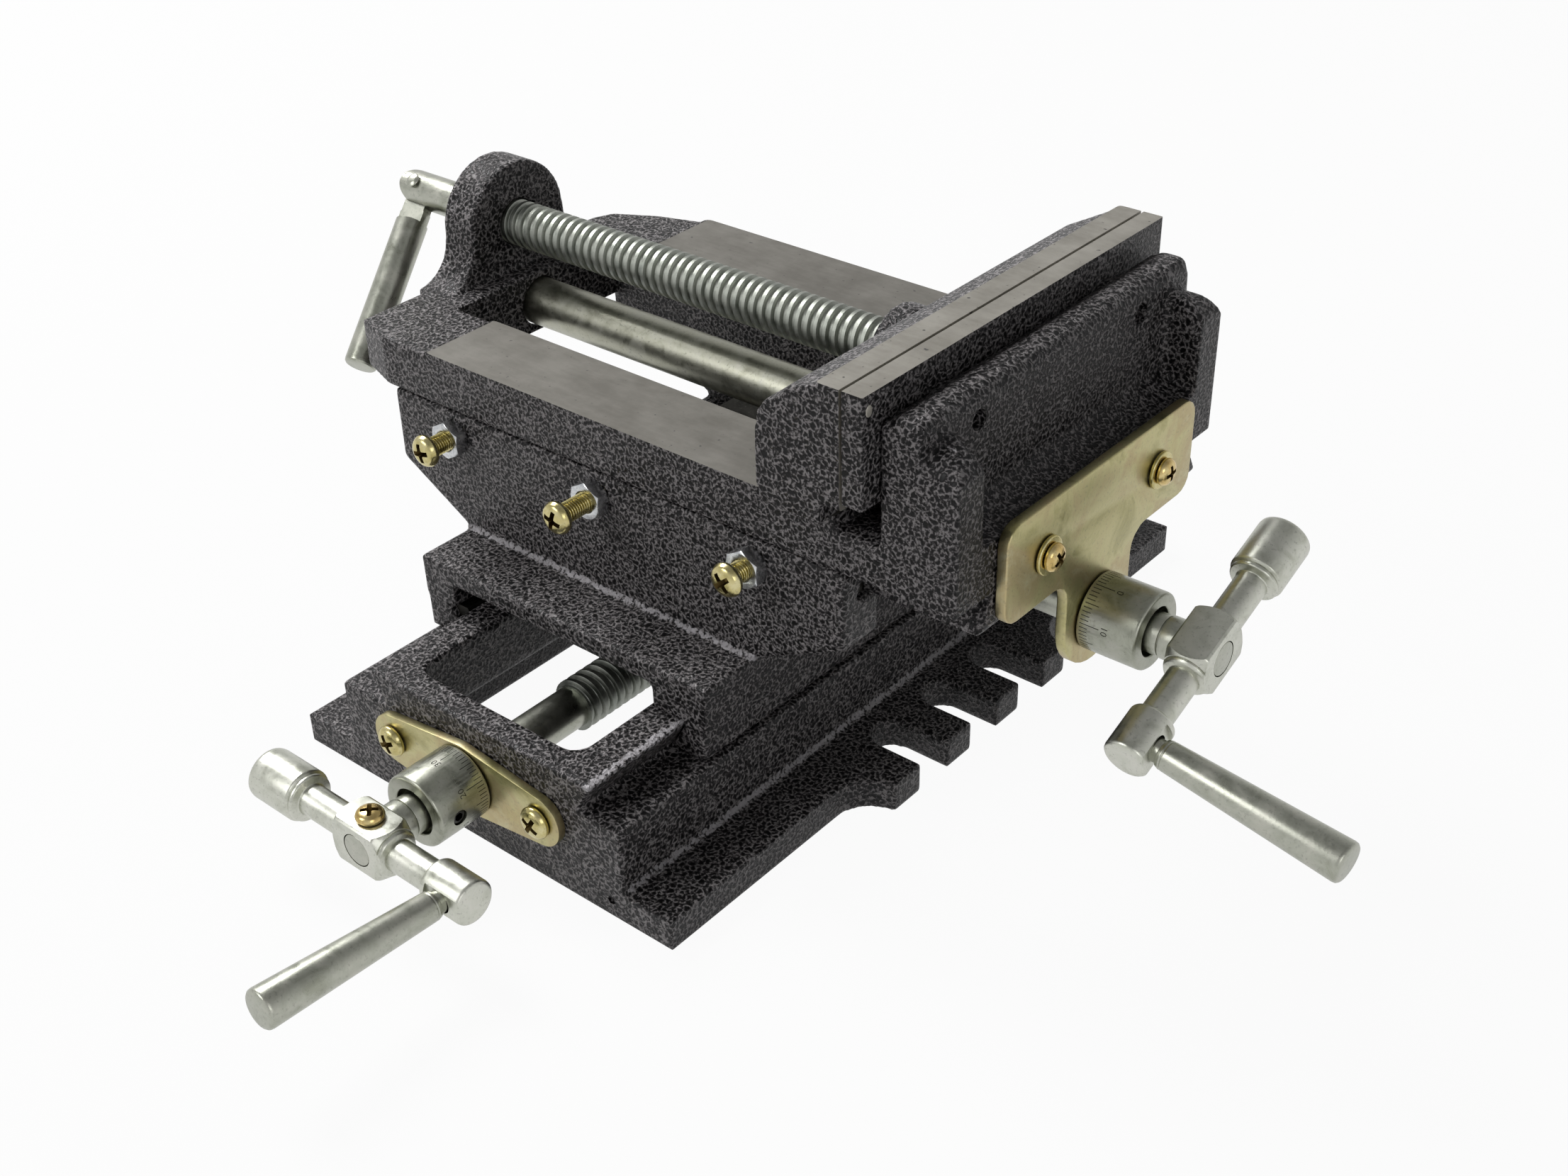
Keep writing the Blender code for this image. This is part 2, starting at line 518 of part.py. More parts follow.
# Vise body: the bed with two ways, the screw lug at the left and the fixed jaw at the right
def build_body():
    near_root, far_root = x_tail_edges()
    flare = X_TAIL_HEIGHT * SLOPE
    plan = [(BODY_LEFT, BODY_NEAR + CORNER_Y), (BODY_LEFT + CORNER_X, BODY_NEAR), (BODY_RIGHT, BODY_NEAR),
            (BODY_RIGHT, BODY_FAR)]
    plan += [(BODY_LEFT + FAR_CORNER_X * a, BODY_FAR - FAR_CORNER_Y * b)
             for a, b in ((1, 0), (0.9, 0.04), (0.45, 0.3), (0.08, 0.66), (0, 1))]
    body = prism("vise_body", plan, "Z", BODY_BOTTOM, WAY_TOP - WAY_STEP, PAINT)
    tail = [(near_root, BODY_BOTTOM + GAP), (near_root, BODY_BOTTOM), (near_root - flare, X_TAIL_BOTTOM),
            (far_root + flare, X_TAIL_BOTTOM), (far_root, BODY_BOTTOM), (far_root, BODY_BOTTOM + GAP)]
    weld(body, prism("body_tail", tail, "X", BODY_LEFT + CORNER_X, BODY_RIGHT - 0.01 * MM))
    edge = 0.01 * MM
    weld(body, box("body_ways", (WAY_LEFT, WALL_FRONT), (BODY_NEAR + edge, BODY_FAR - edge),
                   (WAY_TOP - WAY_STEP - MM, WAY_TOP)))

    # The lug, with a fillet on each side of its foot
    foot = WAY_TOP - WAY_STEP - MM
    spread = LUG_RADIUS + LUG_FILLET
    left_fillet = arc((BODY_MIDDLE_Y - spread, foot + MM + LUG_FILLET), LUG_FILLET, 270, 360, 6)
    right_fillet = arc((BODY_MIDDLE_Y + spread, foot + MM + LUG_FILLET), LUG_FILLET, 180, 270, 6)
    crown = arc((BODY_MIDDLE_Y, JAW_SCREW_Z), LUG_RADIUS, 180, 0, 16)
    outline = [(BODY_MIDDLE_Y - spread, foot)] + left_fillet + crown + right_fillet
    outline += [(BODY_MIDDLE_Y + spread, foot)]
    weld(body, prism("lug", outline, "X", LUG_LEFT, LUG_RIGHT))
    weld(body, box("lug_foot", (LUG_LEFT, BODY_LEFT + LUG_FILLET),
                   (BODY_MIDDLE_Y - spread, BODY_MIDDLE_Y + spread), (BODY_BOTTOM + MM, foot + 0.5 * MM)))

    # The fixed jaw: a wall with a rounded top, a ledge behind it and a buttress at each end
    root = WAY_TOP - RELIEF_DEPTH - MM
    front_round = 2.5 * MM
    back_round = 4 * MM
    wall = [(WALL_FRONT, root), (WALL_BACK, root)]
    wall += arc((WALL_BACK - back_round, FIXED_TOP - back_round), back_round, 0, 90, 5)
    wall += arc((WALL_FRONT + front_round, FIXED_TOP - front_round), front_round, 90, 180, 3)
    weld(body, prism("fixed_wall", wall, "Y", BODY_NEAR + edge, BODY_FAR - edge))
    ledge = [(WALL_FRONT + MM, root), (BODY_RIGHT - MM, root), (BODY_RIGHT - MM, WAY_TOP - WAY_STEP),
             (WALL_BACK + 4 * MM, WAY_TOP + MM), (WALL_BACK, WAY_TOP + 4 * MM), (WALL_FRONT + MM, WAY_TOP + 4 * MM)]
    weld(body, prism("fixed_ledge", ledge, "Y", BODY_NEAR + MM, BODY_FAR - MM))
    side = [(WALL_FRONT + MM, root), (BODY_RIGHT, root), (BODY_RIGHT, BUTTRESS_TOP - 3 * MM),
            (BODY_RIGHT - 2.5 * MM, BUTTRESS_TOP), (WALL_BACK, FIXED_TOP - 4 * MM),
            (WALL_FRONT + MM, FIXED_TOP - 4 * MM)]
    crown = FIXED_TOP + MM
    for name, outer, inner in (("near", BODY_NEAR, BODY_NEAR + BUTTRESS_WIDTH),
                               ("far", BODY_FAR, BODY_FAR - BUTTRESS_WIDTH)):
        weld(body, prism(f"buttress_{name}", side, "Y", outer, inner))
        towards = 1 if inner > outer else -1
        for part, radius, top, start, end in (
                ("wall", FIXED_ROUND, FIXED_TOP, PLATE_BACK, WALL_BACK + edge),
                ("buttress", BUTTRESS_ROUND, FIXED_TOP - 6 * MM, WALL_BACK, BODY_RIGHT + MM)):
            centre = (outer + towards * radius, top - radius)
            curve = arc(centre, radius, 180 if towards > 0 else 0, 90, 5)
            trim = [(outer - towards * MM, centre[1]), *curve, (centre[0], crown), (outer - towards * MM, crown)]
            cut(body, prism(f"{part}_round_{name}", trim, "X", start, end))
    for k, place in enumerate(row(2, PLATE_SCREW_SPACING, BODY_MIDDLE_Y)):
        weld(body, cylinder(f"pad_{k}", (WALL_FRONT + MM, place, PLATE_SCREW_Z), (-1, 0, 0), PAD_HEIGHT + MM,
                            min(PAD_RADIUS, FIXED_TOP - PLATE_SCREW_Z - MM), COARSE))
        cut(body, cylinder(f"plate_screw_hole_{k}", (PLATE_BACK - MM, place, PLATE_SCREW_Z), (1, 0, 0),
                           WALL_BACK - PLATE_BACK + 2 * MM, PLATE_SCREW_RADIUS + GAP, COARSE))
    cut(body, box("relief_groove", (JAW_LINE_X - JAW_STEP, WALL_FRONT), (BODY_NEAR - MM, BODY_FAR + MM),
                  (WAY_TOP - RELIEF_DEPTH, WAY_TOP + MM)))

    # The opening between the ways, the tapped lug, the guide bar's seats, the bracket taps
    half_opening = OPENING_WIDTH / 2
    cut(body, box("body_opening", (OPENING_LEFT, OPENING_RIGHT),
                  (BODY_MIDDLE_Y - half_opening, BODY_MIDDLE_Y + half_opening), (X_TAIL_BOTTOM - MM, WAY_TOP + MM)))
    cut(body, box("end_wall_relief", (BODY_LEFT - MM, OPENING_LEFT + MM),
                  (BODY_MIDDLE_Y - half_opening, BODY_MIDDLE_Y + half_opening),
                  (X_TAIL_BOTTOM - MM, END_WALL_UNDERSIDE)))
    cut(body, cylinder("lug_thread", (LUG_LEFT - MM, BODY_MIDDLE_Y, JAW_SCREW_Z), (1, 0, 0),
                       LUG_THICKNESS + 2 * MM, JAW_SCREW_RADIUS + GAP, FINE))
    cut(body, cylinder("guide_seat", (BODY_LEFT - MM - LUG_OVERHANG, BODY_MIDDLE_Y, GUIDE_BAR_Z), (1, 0, 0),
                       WALL_FRONT - BODY_LEFT + LUG_OVERHANG + MM, GUIDE_BAR_RADIUS + GAP, FINE))
    for k, place in enumerate(row(2, X_BRACKET_SPACING, BODY_MIDDLE_Y)):
        cut(body, cylinder(f"x_bracket_tap_{k}", (BODY_RIGHT + GAP, place, X_BRACKET_Z), (-1, 0, 0),
                           BRACKET_SCREW_REACH + 2 * GAP, BRACKET_SCREW_RADIUS + GAP, COARSE))
    return body


# Moving jaw: a cast block with a screw boss on its back and a block below that runs on the guide bar
def build_moving_jaw():
    step = JAW_STEP
    low = JAW_BOTTOM + 5.5 * MM
    back = JAW_LEFT
    slope_top = JAW_TOP - 0.6 * MM
    section = [
        (back + 1.5 * MM, JAW_BOTTOM), (JAW_LINE_X - step, JAW_BOTTOM), (JAW_LINE_X - step, low),
        (JAW_LINE_X, low), (JAW_LINE_X, JAW_TOP), (JAW_LINE_X - GROUND_STRIP, JAW_TOP),
        (JAW_LINE_X - GROUND_STRIP - 0.3 * MM, slope_top),
        (back + 9.5 * MM, JAW_TOP - 4 * MM), (back + 8.5 * MM, JAW_TOP - 6.3 * MM),
        (back + 3.5 * MM, JAW_TOP - 9 * MM), (back + 0.8 * MM, JAW_TOP - 13 * MM), (back, JAW_TOP - 20 * MM),
        (back, JAW_BOTTOM + 5 * MM),
    ]
    half = JAW_WIDTH / 2
    jaw = prism("movable_jaw", section, "Y", BODY_MIDDLE_Y - half, BODY_MIDDLE_Y + half, PAINT)
    strip_left = JAW_LINE_X - GROUND_STRIP
    far = BODY_MIDDLE_Y + half
    chamfer = [(back - MM, far - JAW_CHAMFER_Y * (1 + MM / JAW_CHAMFER_X)), (strip_left, far - JAW_CHAMFER_Y
               * (1 - (strip_left - back) / JAW_CHAMFER_X)), (strip_left, far + MM), (back - MM, far + MM)]
    cut(jaw, prism("jaw_back_corner", chamfer, "Z", JAW_BOTTOM - MM, JAW_TOP + MM))
    weld(jaw, cylinder("jaw_boss", (back + 8 * MM, BODY_MIDDLE_Y, JAW_SCREW_Z), (-1, 0, 0),
                       JAW_BOSS_LENGTH + 8 * MM, JAW_BOSS_RADIUS, FINE))
    guide_half = GUIDE_BAR_RADIUS + 8 * MM
    guide = [(BODY_MIDDLE_Y - guide_half, GUIDE_BAR_Z - guide_half * 0.7),
             (BODY_MIDDLE_Y + guide_half, GUIDE_BAR_Z - guide_half * 0.7),
             (BODY_MIDDLE_Y + guide_half, JAW_SCREW_Z), (BODY_MIDDLE_Y - guide_half, JAW_SCREW_Z)]
    weld(jaw, prism("guide_block", guide, "X", back - JAW_BOSS_LENGTH + MM, JAW_LINE_X - step - MM))
    cut(jaw, cylinder("guide_bore", (back - JAW_BOSS_LENGTH - MM, BODY_MIDDLE_Y, GUIDE_BAR_Z), (1, 0, 0),
                      MOVING_JAW_THICKNESS + JAW_BOSS_LENGTH + 2 * MM, GUIDE_BAR_RADIUS + GAP, FINE))
    cut(jaw, cylinder("screw_socket", (back - JAW_BOSS_LENGTH - MM, BODY_MIDDLE_Y, JAW_SCREW_Z), (1, 0, 0),
                      JAW_SOCKET_DEPTH + MM, JAW_SCREW_RADIUS + GAP, FINE))
    cut(jaw, cylinder("retainer_hole", (back + 2 * MM, BODY_MIDDLE_Y, JAW_TOP), (0, 0, -1),
                      JAW_TOP - JAW_SCREW_Z - retainer_seat(), RETAINER_RADIUS + GAP, COARSE))
    return jaw


def retainer_seat():
    """Height of the pin's lower end over the screw axis: it reaches into the screw's groove."""
    return JAW_SCREW_RADIUS - 2 * MM


def build_retainer():
    seat = JAW_SCREW_Z + retainer_seat() + 2 * GAP
    top = JAW_SCREW_Z + JAW_BOSS_RADIUS - 3 * MM
    return cylinder("jaw_screw_retainer", (JAW_LEFT + 2 * MM, BODY_MIDDLE_Y, seat), (0, 0, 1), top - seat,
                    RETAINER_RADIUS, COARSE, POLISHED)


# Jaw screw: threaded through the lug and held in the moving jaw by a pin in its groove
def build_jaw_screw():
    left = JAW_SHAFT_LEFT
    end = JAW_LEFT - JAW_BOSS_LENGTH + JAW_SOCKET_DEPTH - GAP
    groove = JAW_LEFT + 2 * MM
    half_groove = RETAINER_RADIUS + GAP
    depth = retainer_seat() - GAP
    profile = [
        (0, JAW_SHAFT_RADIUS * 0.55), (0.9 * MM, JAW_SHAFT_RADIUS * 0.85), (2.4 * MM, JAW_SHAFT_RADIUS),
        (JAW_THREAD_LEFT - left, JAW_SHAFT_RADIUS),
        (JAW_THREAD_LEFT - left + 1.5 * MM, JAW_SCREW_RADIUS),
        (groove - half_groove - left, JAW_SCREW_RADIUS), (groove - half_groove - left, depth),
        (groove + half_groove - left, depth), (groove + half_groove - left, JAW_SCREW_RADIUS),
        (end - left - MM, JAW_SCREW_RADIUS), (end - left, JAW_SCREW_RADIUS - MM),
    ]
    screw = turned("jaw_screw", profile, (left, BODY_MIDDLE_Y, JAW_SCREW_Z), (1, 0, 0), FINE, ZINC)
    pivot, pin_axis, _ = fold_frame()
    half_fork = FOLD_TANG_THICKNESS / 2 + GAP
    reach = 2 * JAW_SHAFT_RADIUS
    fork_end = FOLD_PIN_X + FOLD_TANG_RADIUS + 1.5 * MM
    fork = box("handle_fork", (left - MM, fork_end), (-half_fork, half_fork), (-reach, reach))
    fork.data.transform(Matrix.Translation((0, BODY_MIDDLE_Y, JAW_SCREW_Z)) @ Matrix.Rotation(-FOLD_PIN_TILT, 4, "X"))
    cut(screw, fork)
    cut(screw, cylinder("fold_pin_hole", pivot - pin_axis * reach, pin_axis, 2 * reach,
                        FOLD_PIN_RADIUS + GAP, COARSE))
    return screw


def fold_frame():
    """Pivot, pin direction and bar direction of the folding handle."""
    pivot = Vector((FOLD_PIN_X, BODY_MIDDLE_Y, JAW_SCREW_Z))
    pin_axis = Vector((0, cos(FOLD_PIN_TILT), -sin(FOLD_PIN_TILT)))
    sideways = Vector((0, -sin(FOLD_PIN_TILT), -cos(FOLD_PIN_TILT)))
    bar = Vector((-1, 0, 0)) * cos(FOLD_ANGLE) + sideways * sin(FOLD_ANGLE)
    return pivot, pin_axis, bar


def build_fold_pin():
    pivot, pin_axis, _ = fold_frame()
    head = 0.8 * MM
    start = -JAW_SHAFT_RADIUS - GAP - head
    end = JAW_SHAFT_RADIUS + GAP + head
    profile = [(start, 0.7 * FOLD_PIN_RADIUS), (start + 0.4 * head, 1.35 * FOLD_PIN_RADIUS),
               (start + head, 1.35 * FOLD_PIN_RADIUS), (start + head, FOLD_PIN_RADIUS),
               (end - head, FOLD_PIN_RADIUS), (end - head, 1.35 * FOLD_PIN_RADIUS),
               (end - 0.4 * head, 1.35 * FOLD_PIN_RADIUS), (end, 0.7 * FOLD_PIN_RADIUS)]
    return turned("folding_handle_pin", profile, pivot, pin_axis, COARSE, POLISHED)


def build_folding_handle():
    """A round bar whose top is flattened to a tang that folds in the screw's fork."""
    pivot, pin_axis, along = fold_frame()
    chamfer = 1 * MM
    profile = [(FOLD_TANG_LENGTH, FOLD_BAR_RADIUS - chamfer), (FOLD_TANG_LENGTH + chamfer, FOLD_BAR_RADIUS),
               (FOLD_BAR_LENGTH - chamfer, FOLD_BAR_RADIUS), (FOLD_BAR_LENGTH, FOLD_BAR_RADIUS - chamfer)]
    bar = turned("folding_handle", profile, pivot, along, FINE, ZINC)
    half = FOLD_TANG_THICKNESS / 2
    root = FOLD_TANG_LENGTH + 3 * MM
    outline = arc((0, 0), FOLD_TANG_RADIUS, 90, 270, 8) + [(root, -FOLD_TANG_RADIUS), (root, FOLD_TANG_RADIUS)]
    tang = prism("handle_tang", outline, "Z", -half, half)
    frame = Matrix((along, pin_axis.cross(along), pin_axis)).transposed().to_4x4()
    tang.data.transform(Matrix.Translation(pivot) @ frame)
    weld(bar, tang)
    cut(bar, cylinder("tang_hole", pivot - pin_axis * 2 * half, pin_axis, 4 * half, FOLD_PIN_RADIUS + GAP, COARSE))
    return bar


# Guide bar: a plain round bar under the screw that keeps the moving jaw square
def build_guide_bar():
    left = BODY_LEFT + 2 * MM
    right = WALL_FRONT - GAP
    chamfer = 0.8 * MM
    profile = [(0, GUIDE_BAR_RADIUS - chamfer), (chamfer, GUIDE_BAR_RADIUS),
               (right - left - chamfer, GUIDE_BAR_RADIUS), (right - left, GUIDE_BAR_RADIUS - chamfer)]
    return turned("guide_bar", profile, (left, BODY_MIDDLE_Y, GUIDE_BAR_Z), (1, 0, 0), FINE, POLISHED)


# Fixed jaw plate: a steel facing bolted against two pads on the fixed jaw
def build_jaw_plate():
    half = JAW_WIDTH / 2
    plate = box("fixed_jaw_plate", (PLATE_FRONT, PLATE_BACK),
                (BODY_MIDDLE_Y - half, BODY_MIDDLE_Y + half), (PLATE_BOTTOM, JAW_TOP), GROUND)
    for k, place in enumerate(row(2, PLATE_SCREW_SPACING, BODY_MIDDLE_Y)):
        cut(plate, cylinder(f"plate_tap_{k}", (PLATE_BACK + MM, place, PLATE_SCREW_Z), (-1, 0, 0),
                            0.65 * PLATE_THICKNESS + MM, PLATE_SCREW_RADIUS + GAP, COARSE))
    return plate


def build_plate_screws():
    start = PLATE_BACK - 0.65 * PLATE_THICKNESS + GAP
    length = WALL_BACK - 3 * MM - start
    for k, place in enumerate(row(2, PLATE_SCREW_SPACING, BODY_MIDDLE_Y)):
        cylinder(f"jaw_plate_screw_{k + 1}", (start, place, PLATE_SCREW_Z), (1, 0, 0), length,
                 PLATE_SCREW_RADIUS, COARSE, ZINC)


# Gibs: loose dovetail strips that three screws press against each slide
def build_gibs():
    near_root, _ = x_tail_edges()
    low = X_FLOOR + GAP
    high = SADDLE_TOP - GAP
    inner = near_root - SLIDE_FIT
    outer = near_root - X_GIB_ROOM + SLIDE_FIT
    section = [(outer - (SADDLE_TOP - high) * SLOPE, high), (inner - (SADDLE_TOP - high) * SLOPE, high),
               (inner - (SADDLE_TOP - low) * SLOPE, low), (outer - (SADDLE_TOP - low) * SLOPE, low)]
    inset = 2 * MM
    prism("x_gib", section, "X", SADDLE_UPPER_LEFT + inset, SADDLE_UPPER_RIGHT - inset, POLISHED)

    low = SADDLE_BOTTOM + GAP
    high = BASE_TOP
    inner = Y_TAIL_OFFSET - Y_TAIL_ROOT / 2 - SLIDE_FIT
    outer = Y_TAIL_OFFSET - Y_TAIL_ROOT / 2 - Y_GIB_ROOM
    section = [(x - (z - SHOULDER_HEIGHT) * SLOPE, z)
               for x, z in ((outer, low), (inner, low), (inner, high), (outer, high))]
    half = SADDLE_LOWER_LENGTH / 2 - inset
    prism("y_gib", section, "Y", BODY_MIDDLE_Y - half, BODY_MIDDLE_Y + half, POLISHED)


def pan_screw(name, seat, direction, head_radius, head_height, radius, reach, finish_material):
    """A pan head screw: seat is the underside of its head, direction points from head to tip."""
    profile = [(-head_height, 0.55 * head_radius), (-0.8 * head_height, 0.85 * head_radius),
               (-0.4 * head_height, head_radius), (0, head_radius), (0, radius), (reach, radius)]
    return turned(name, profile, seat, direction, COARSE, finish_material)


def hex_nut(name, seat, direction):
    """A hexagon nut with its face on the seat, growing along the direction."""
    corner = NUT_FLATS / 2 / cos(pi / 6)
    chamfer = 0.5 * MM
    profile = [(0, corner - chamfer), (chamfer, corner), (NUT_HEIGHT - chamfer, corner),
               (NUT_HEIGHT, corner - chamfer)]
    nut = turned(name, profile, seat, direction, 6, ZINC)
    back = Vector(seat) - Vector(direction) * MM
    cut(nut, cylinder(f"{name}_bore", back, direction, NUT_HEIGHT + 2 * MM, GIB_SCREW_RADIUS + GAP, COARSE))
    return nut


def build_gib_screws():
    near_root, _ = x_tail_edges()
    lowest = X_GIB_SCREW_Z - GIB_SCREW_RADIUS
    tip = near_root - X_GIB_ROOM + SLIDE_FIT - (SADDLE_TOP - lowest) * SLOPE - GAP
    for k, place in enumerate(row(GIB_SCREW_COUNT, X_GIB_SPACING)):
        head = SADDLE_NEAR - X_GIB_STICKOUT[k]
        pan_screw(f"x_gib_screw_{k + 1}", (place, head, X_GIB_SCREW_Z), (0, 1, 0), GIB_SCREW_HEAD_RADIUS,
                  GIB_SCREW_HEAD_HEIGHT, GIB_SCREW_RADIUS, tip - head, BRASS)
        hex_nut(f"x_gib_nut_{k + 1}", (place, SADDLE_NEAR - GAP, X_GIB_SCREW_Z), (0, -1, 0))

    face = -SADDLE_LOWER_WIDTH / 2
    highest = Y_GIB_SCREW_Z + GIB_SCREW_RADIUS
    tip = Y_TAIL_OFFSET - Y_TAIL_ROOT / 2 - Y_GIB_ROOM - (highest - SHOULDER_HEIGHT) * SLOPE - GAP
    for k, place in enumerate(row(GIB_SCREW_COUNT, Y_GIB_SPACING, BODY_MIDDLE_Y)):
        head = face - Y_GIB_STICKOUT[k]
        pan_screw(f"y_gib_screw_{k + 1}", (head, place, Y_GIB_SCREW_Z), (1, 0, 0), GIB_SCREW_HEAD_RADIUS,
                  GIB_SCREW_HEAD_HEIGHT, GIB_SCREW_RADIUS, tip - head, BRASS)
        hex_nut(f"y_gib_nut_{k + 1}", (face - GAP, place, Y_GIB_SCREW_Z), (-1, 0, 0))


# Lead nuts: blocks that the lead screws drive, one under the saddle's deck and one on it
def build_lead_nuts():
    half = NUT_WIDTH / 2
    cavity_floor = SADDLE_LEDGE_Z
    x_nut = box("x_lead_nut", (-NUT_LENGTH / 2, NUT_LENGTH / 2), (BODY_MIDDLE_Y - half, BODY_MIDDLE_Y + half),
                (cavity_floor + GAP, X_TAIL_BOTTOM - GAP), ZINC)
    cut(x_nut, cylinder("x_nut_bore", (-NUT_LENGTH, BODY_MIDDLE_Y, X_LEAD_Z), (1, 0, 0), 2 * NUT_LENGTH,
                        LEAD_RADIUS + GAP, FINE))
    y_nut = box("y_lead_nut", (-half, half), (BODY_MIDDLE_Y - NUT_LENGTH / 2, BODY_MIDDLE_Y + NUT_LENGTH / 2),
                (Y_LEAD_Z - LEAD_RADIUS - 3 * MM, TUNNEL_TOP - GAP), ZINC)
    cut(y_nut, cylinder("y_nut_bore", (0, BODY_MIDDLE_Y - NUT_LENGTH, Y_LEAD_Z), (0, 1, 0), 2 * NUT_LENGTH,
                        LEAD_RADIUS + GAP, FINE))


# Bracket plates: yellow zinc plates that hold the lead screws' journals
def build_x_plate():
    half = X_PLATE_WIDTH / 2
    top = X_PLATE_BOTTOM + X_PLATE_HEIGHT
    corner = X_PLATE_CORNER
    throat = X_TONGUE_RADIUS + X_TONGUE_FILLET
    right = arc((half - corner, X_PLATE_BOTTOM + corner), corner, 270, 360, 4)
    right += arc((half - corner, top - corner), corner, 0, 90, 4)
    tongue = arc((throat, X_PLATE_BOTTOM - X_TONGUE_FILLET), X_TONGUE_FILLET, 180, 90, 4)
    half_outline = arc((0, X_LEAD_Z), X_TONGUE_RADIUS, 270, 360, 8) + tongue + right
    mirrored = [(-a, b) for a, b in reversed(half_outline[1:])]
    outline = [(BODY_MIDDLE_Y + a, b) for a, b in half_outline + mirrored]
    start = BODY_RIGHT + GAP
    plate = prism("x_bracket_plate", outline, "X", start, start + X_PLATE_THICKNESS, YELLOW)
    cut(plate, cylinder("x_journal_hole", (start - MM, BODY_MIDDLE_Y, X_LEAD_Z), (1, 0, 0),
                        X_PLATE_THICKNESS + 2 * MM, JOURNAL_RADIUS + GAP, FINE))
    for k, place in enumerate(row(2, X_BRACKET_SPACING, BODY_MIDDLE_Y)):
        cut(plate, cylinder(f"x_plate_hole_{k}", (start - MM, place, X_BRACKET_Z), (1, 0, 0),
                            X_PLATE_THICKNESS + 2 * MM, BRACKET_SCREW_RADIUS + GAP, COARSE))
        face = start + X_PLATE_THICKNESS + GAP
        washer = cylinder(f"x_bracket_washer_{k + 1}", (face, place, X_BRACKET_Z), (1, 0, 0),
                          WASHER_THICKNESS, WASHER_RADIUS, COARSE, BRASS)
        cut(washer, cylinder(f"x_washer_hole_{k}", (face - MM, place, X_BRACKET_Z), (1, 0, 0),
                             WASHER_THICKNESS + 2 * MM, BRACKET_SCREW_RADIUS + GAP, COARSE))
        seat = face + WASHER_THICKNESS + GAP
        pan_screw(f"x_bracket_screw_{k + 1}", (seat, place, X_BRACKET_Z), (-1, 0, 0), BRACKET_HEAD_RADIUS,
                  BRACKET_HEAD_HEIGHT, BRACKET_SCREW_RADIUS, seat - BODY_RIGHT + BRACKET_SCREW_REACH - GAP, BRASS)


def build_y_plate():
    end = Y_BRACKET_SPACING / 2
    outline = tangent_hull((((0, Y_LEAD_Z), Y_PLATE_MIDDLE_RADIUS), ((-end, Y_LEAD_Z), Y_PLATE_END_RADIUS),
                            ((end, Y_LEAD_Z), Y_PLATE_END_RADIUS)), 8)
    start = -BASE_LENGTH / 2 - GAP
    plate = prism("y_bracket_plate", outline, "Y", start, start - Y_PLATE_THICKNESS, YELLOW)
    cut(plate, cylinder("y_journal_hole", (0, start + MM, Y_LEAD_Z), (0, -1, 0), Y_PLATE_THICKNESS + 2 * MM,
                        JOURNAL_RADIUS + GAP, FINE))
    for k, place in enumerate(row(2, Y_BRACKET_SPACING)):
        cut(plate, cylinder(f"y_plate_hole_{k}", (place, start + MM, Y_LEAD_Z), (0, -1, 0),
                            Y_PLATE_THICKNESS + 2 * MM, BRACKET_SCREW_RADIUS + GAP, COARSE))
        seat = start - Y_PLATE_THICKNESS - GAP
        pan_screw(f"y_bracket_screw_{k + 1}", (place, seat, Y_LEAD_Z), (0, 1, 0), BRACKET_HEAD_RADIUS,
                  BRACKET_HEAD_HEIGHT, BRACKET_SCREW_RADIUS, -BASE_LENGTH / 2 + BRACKET_SCREW_REACH - seat, BRASS)


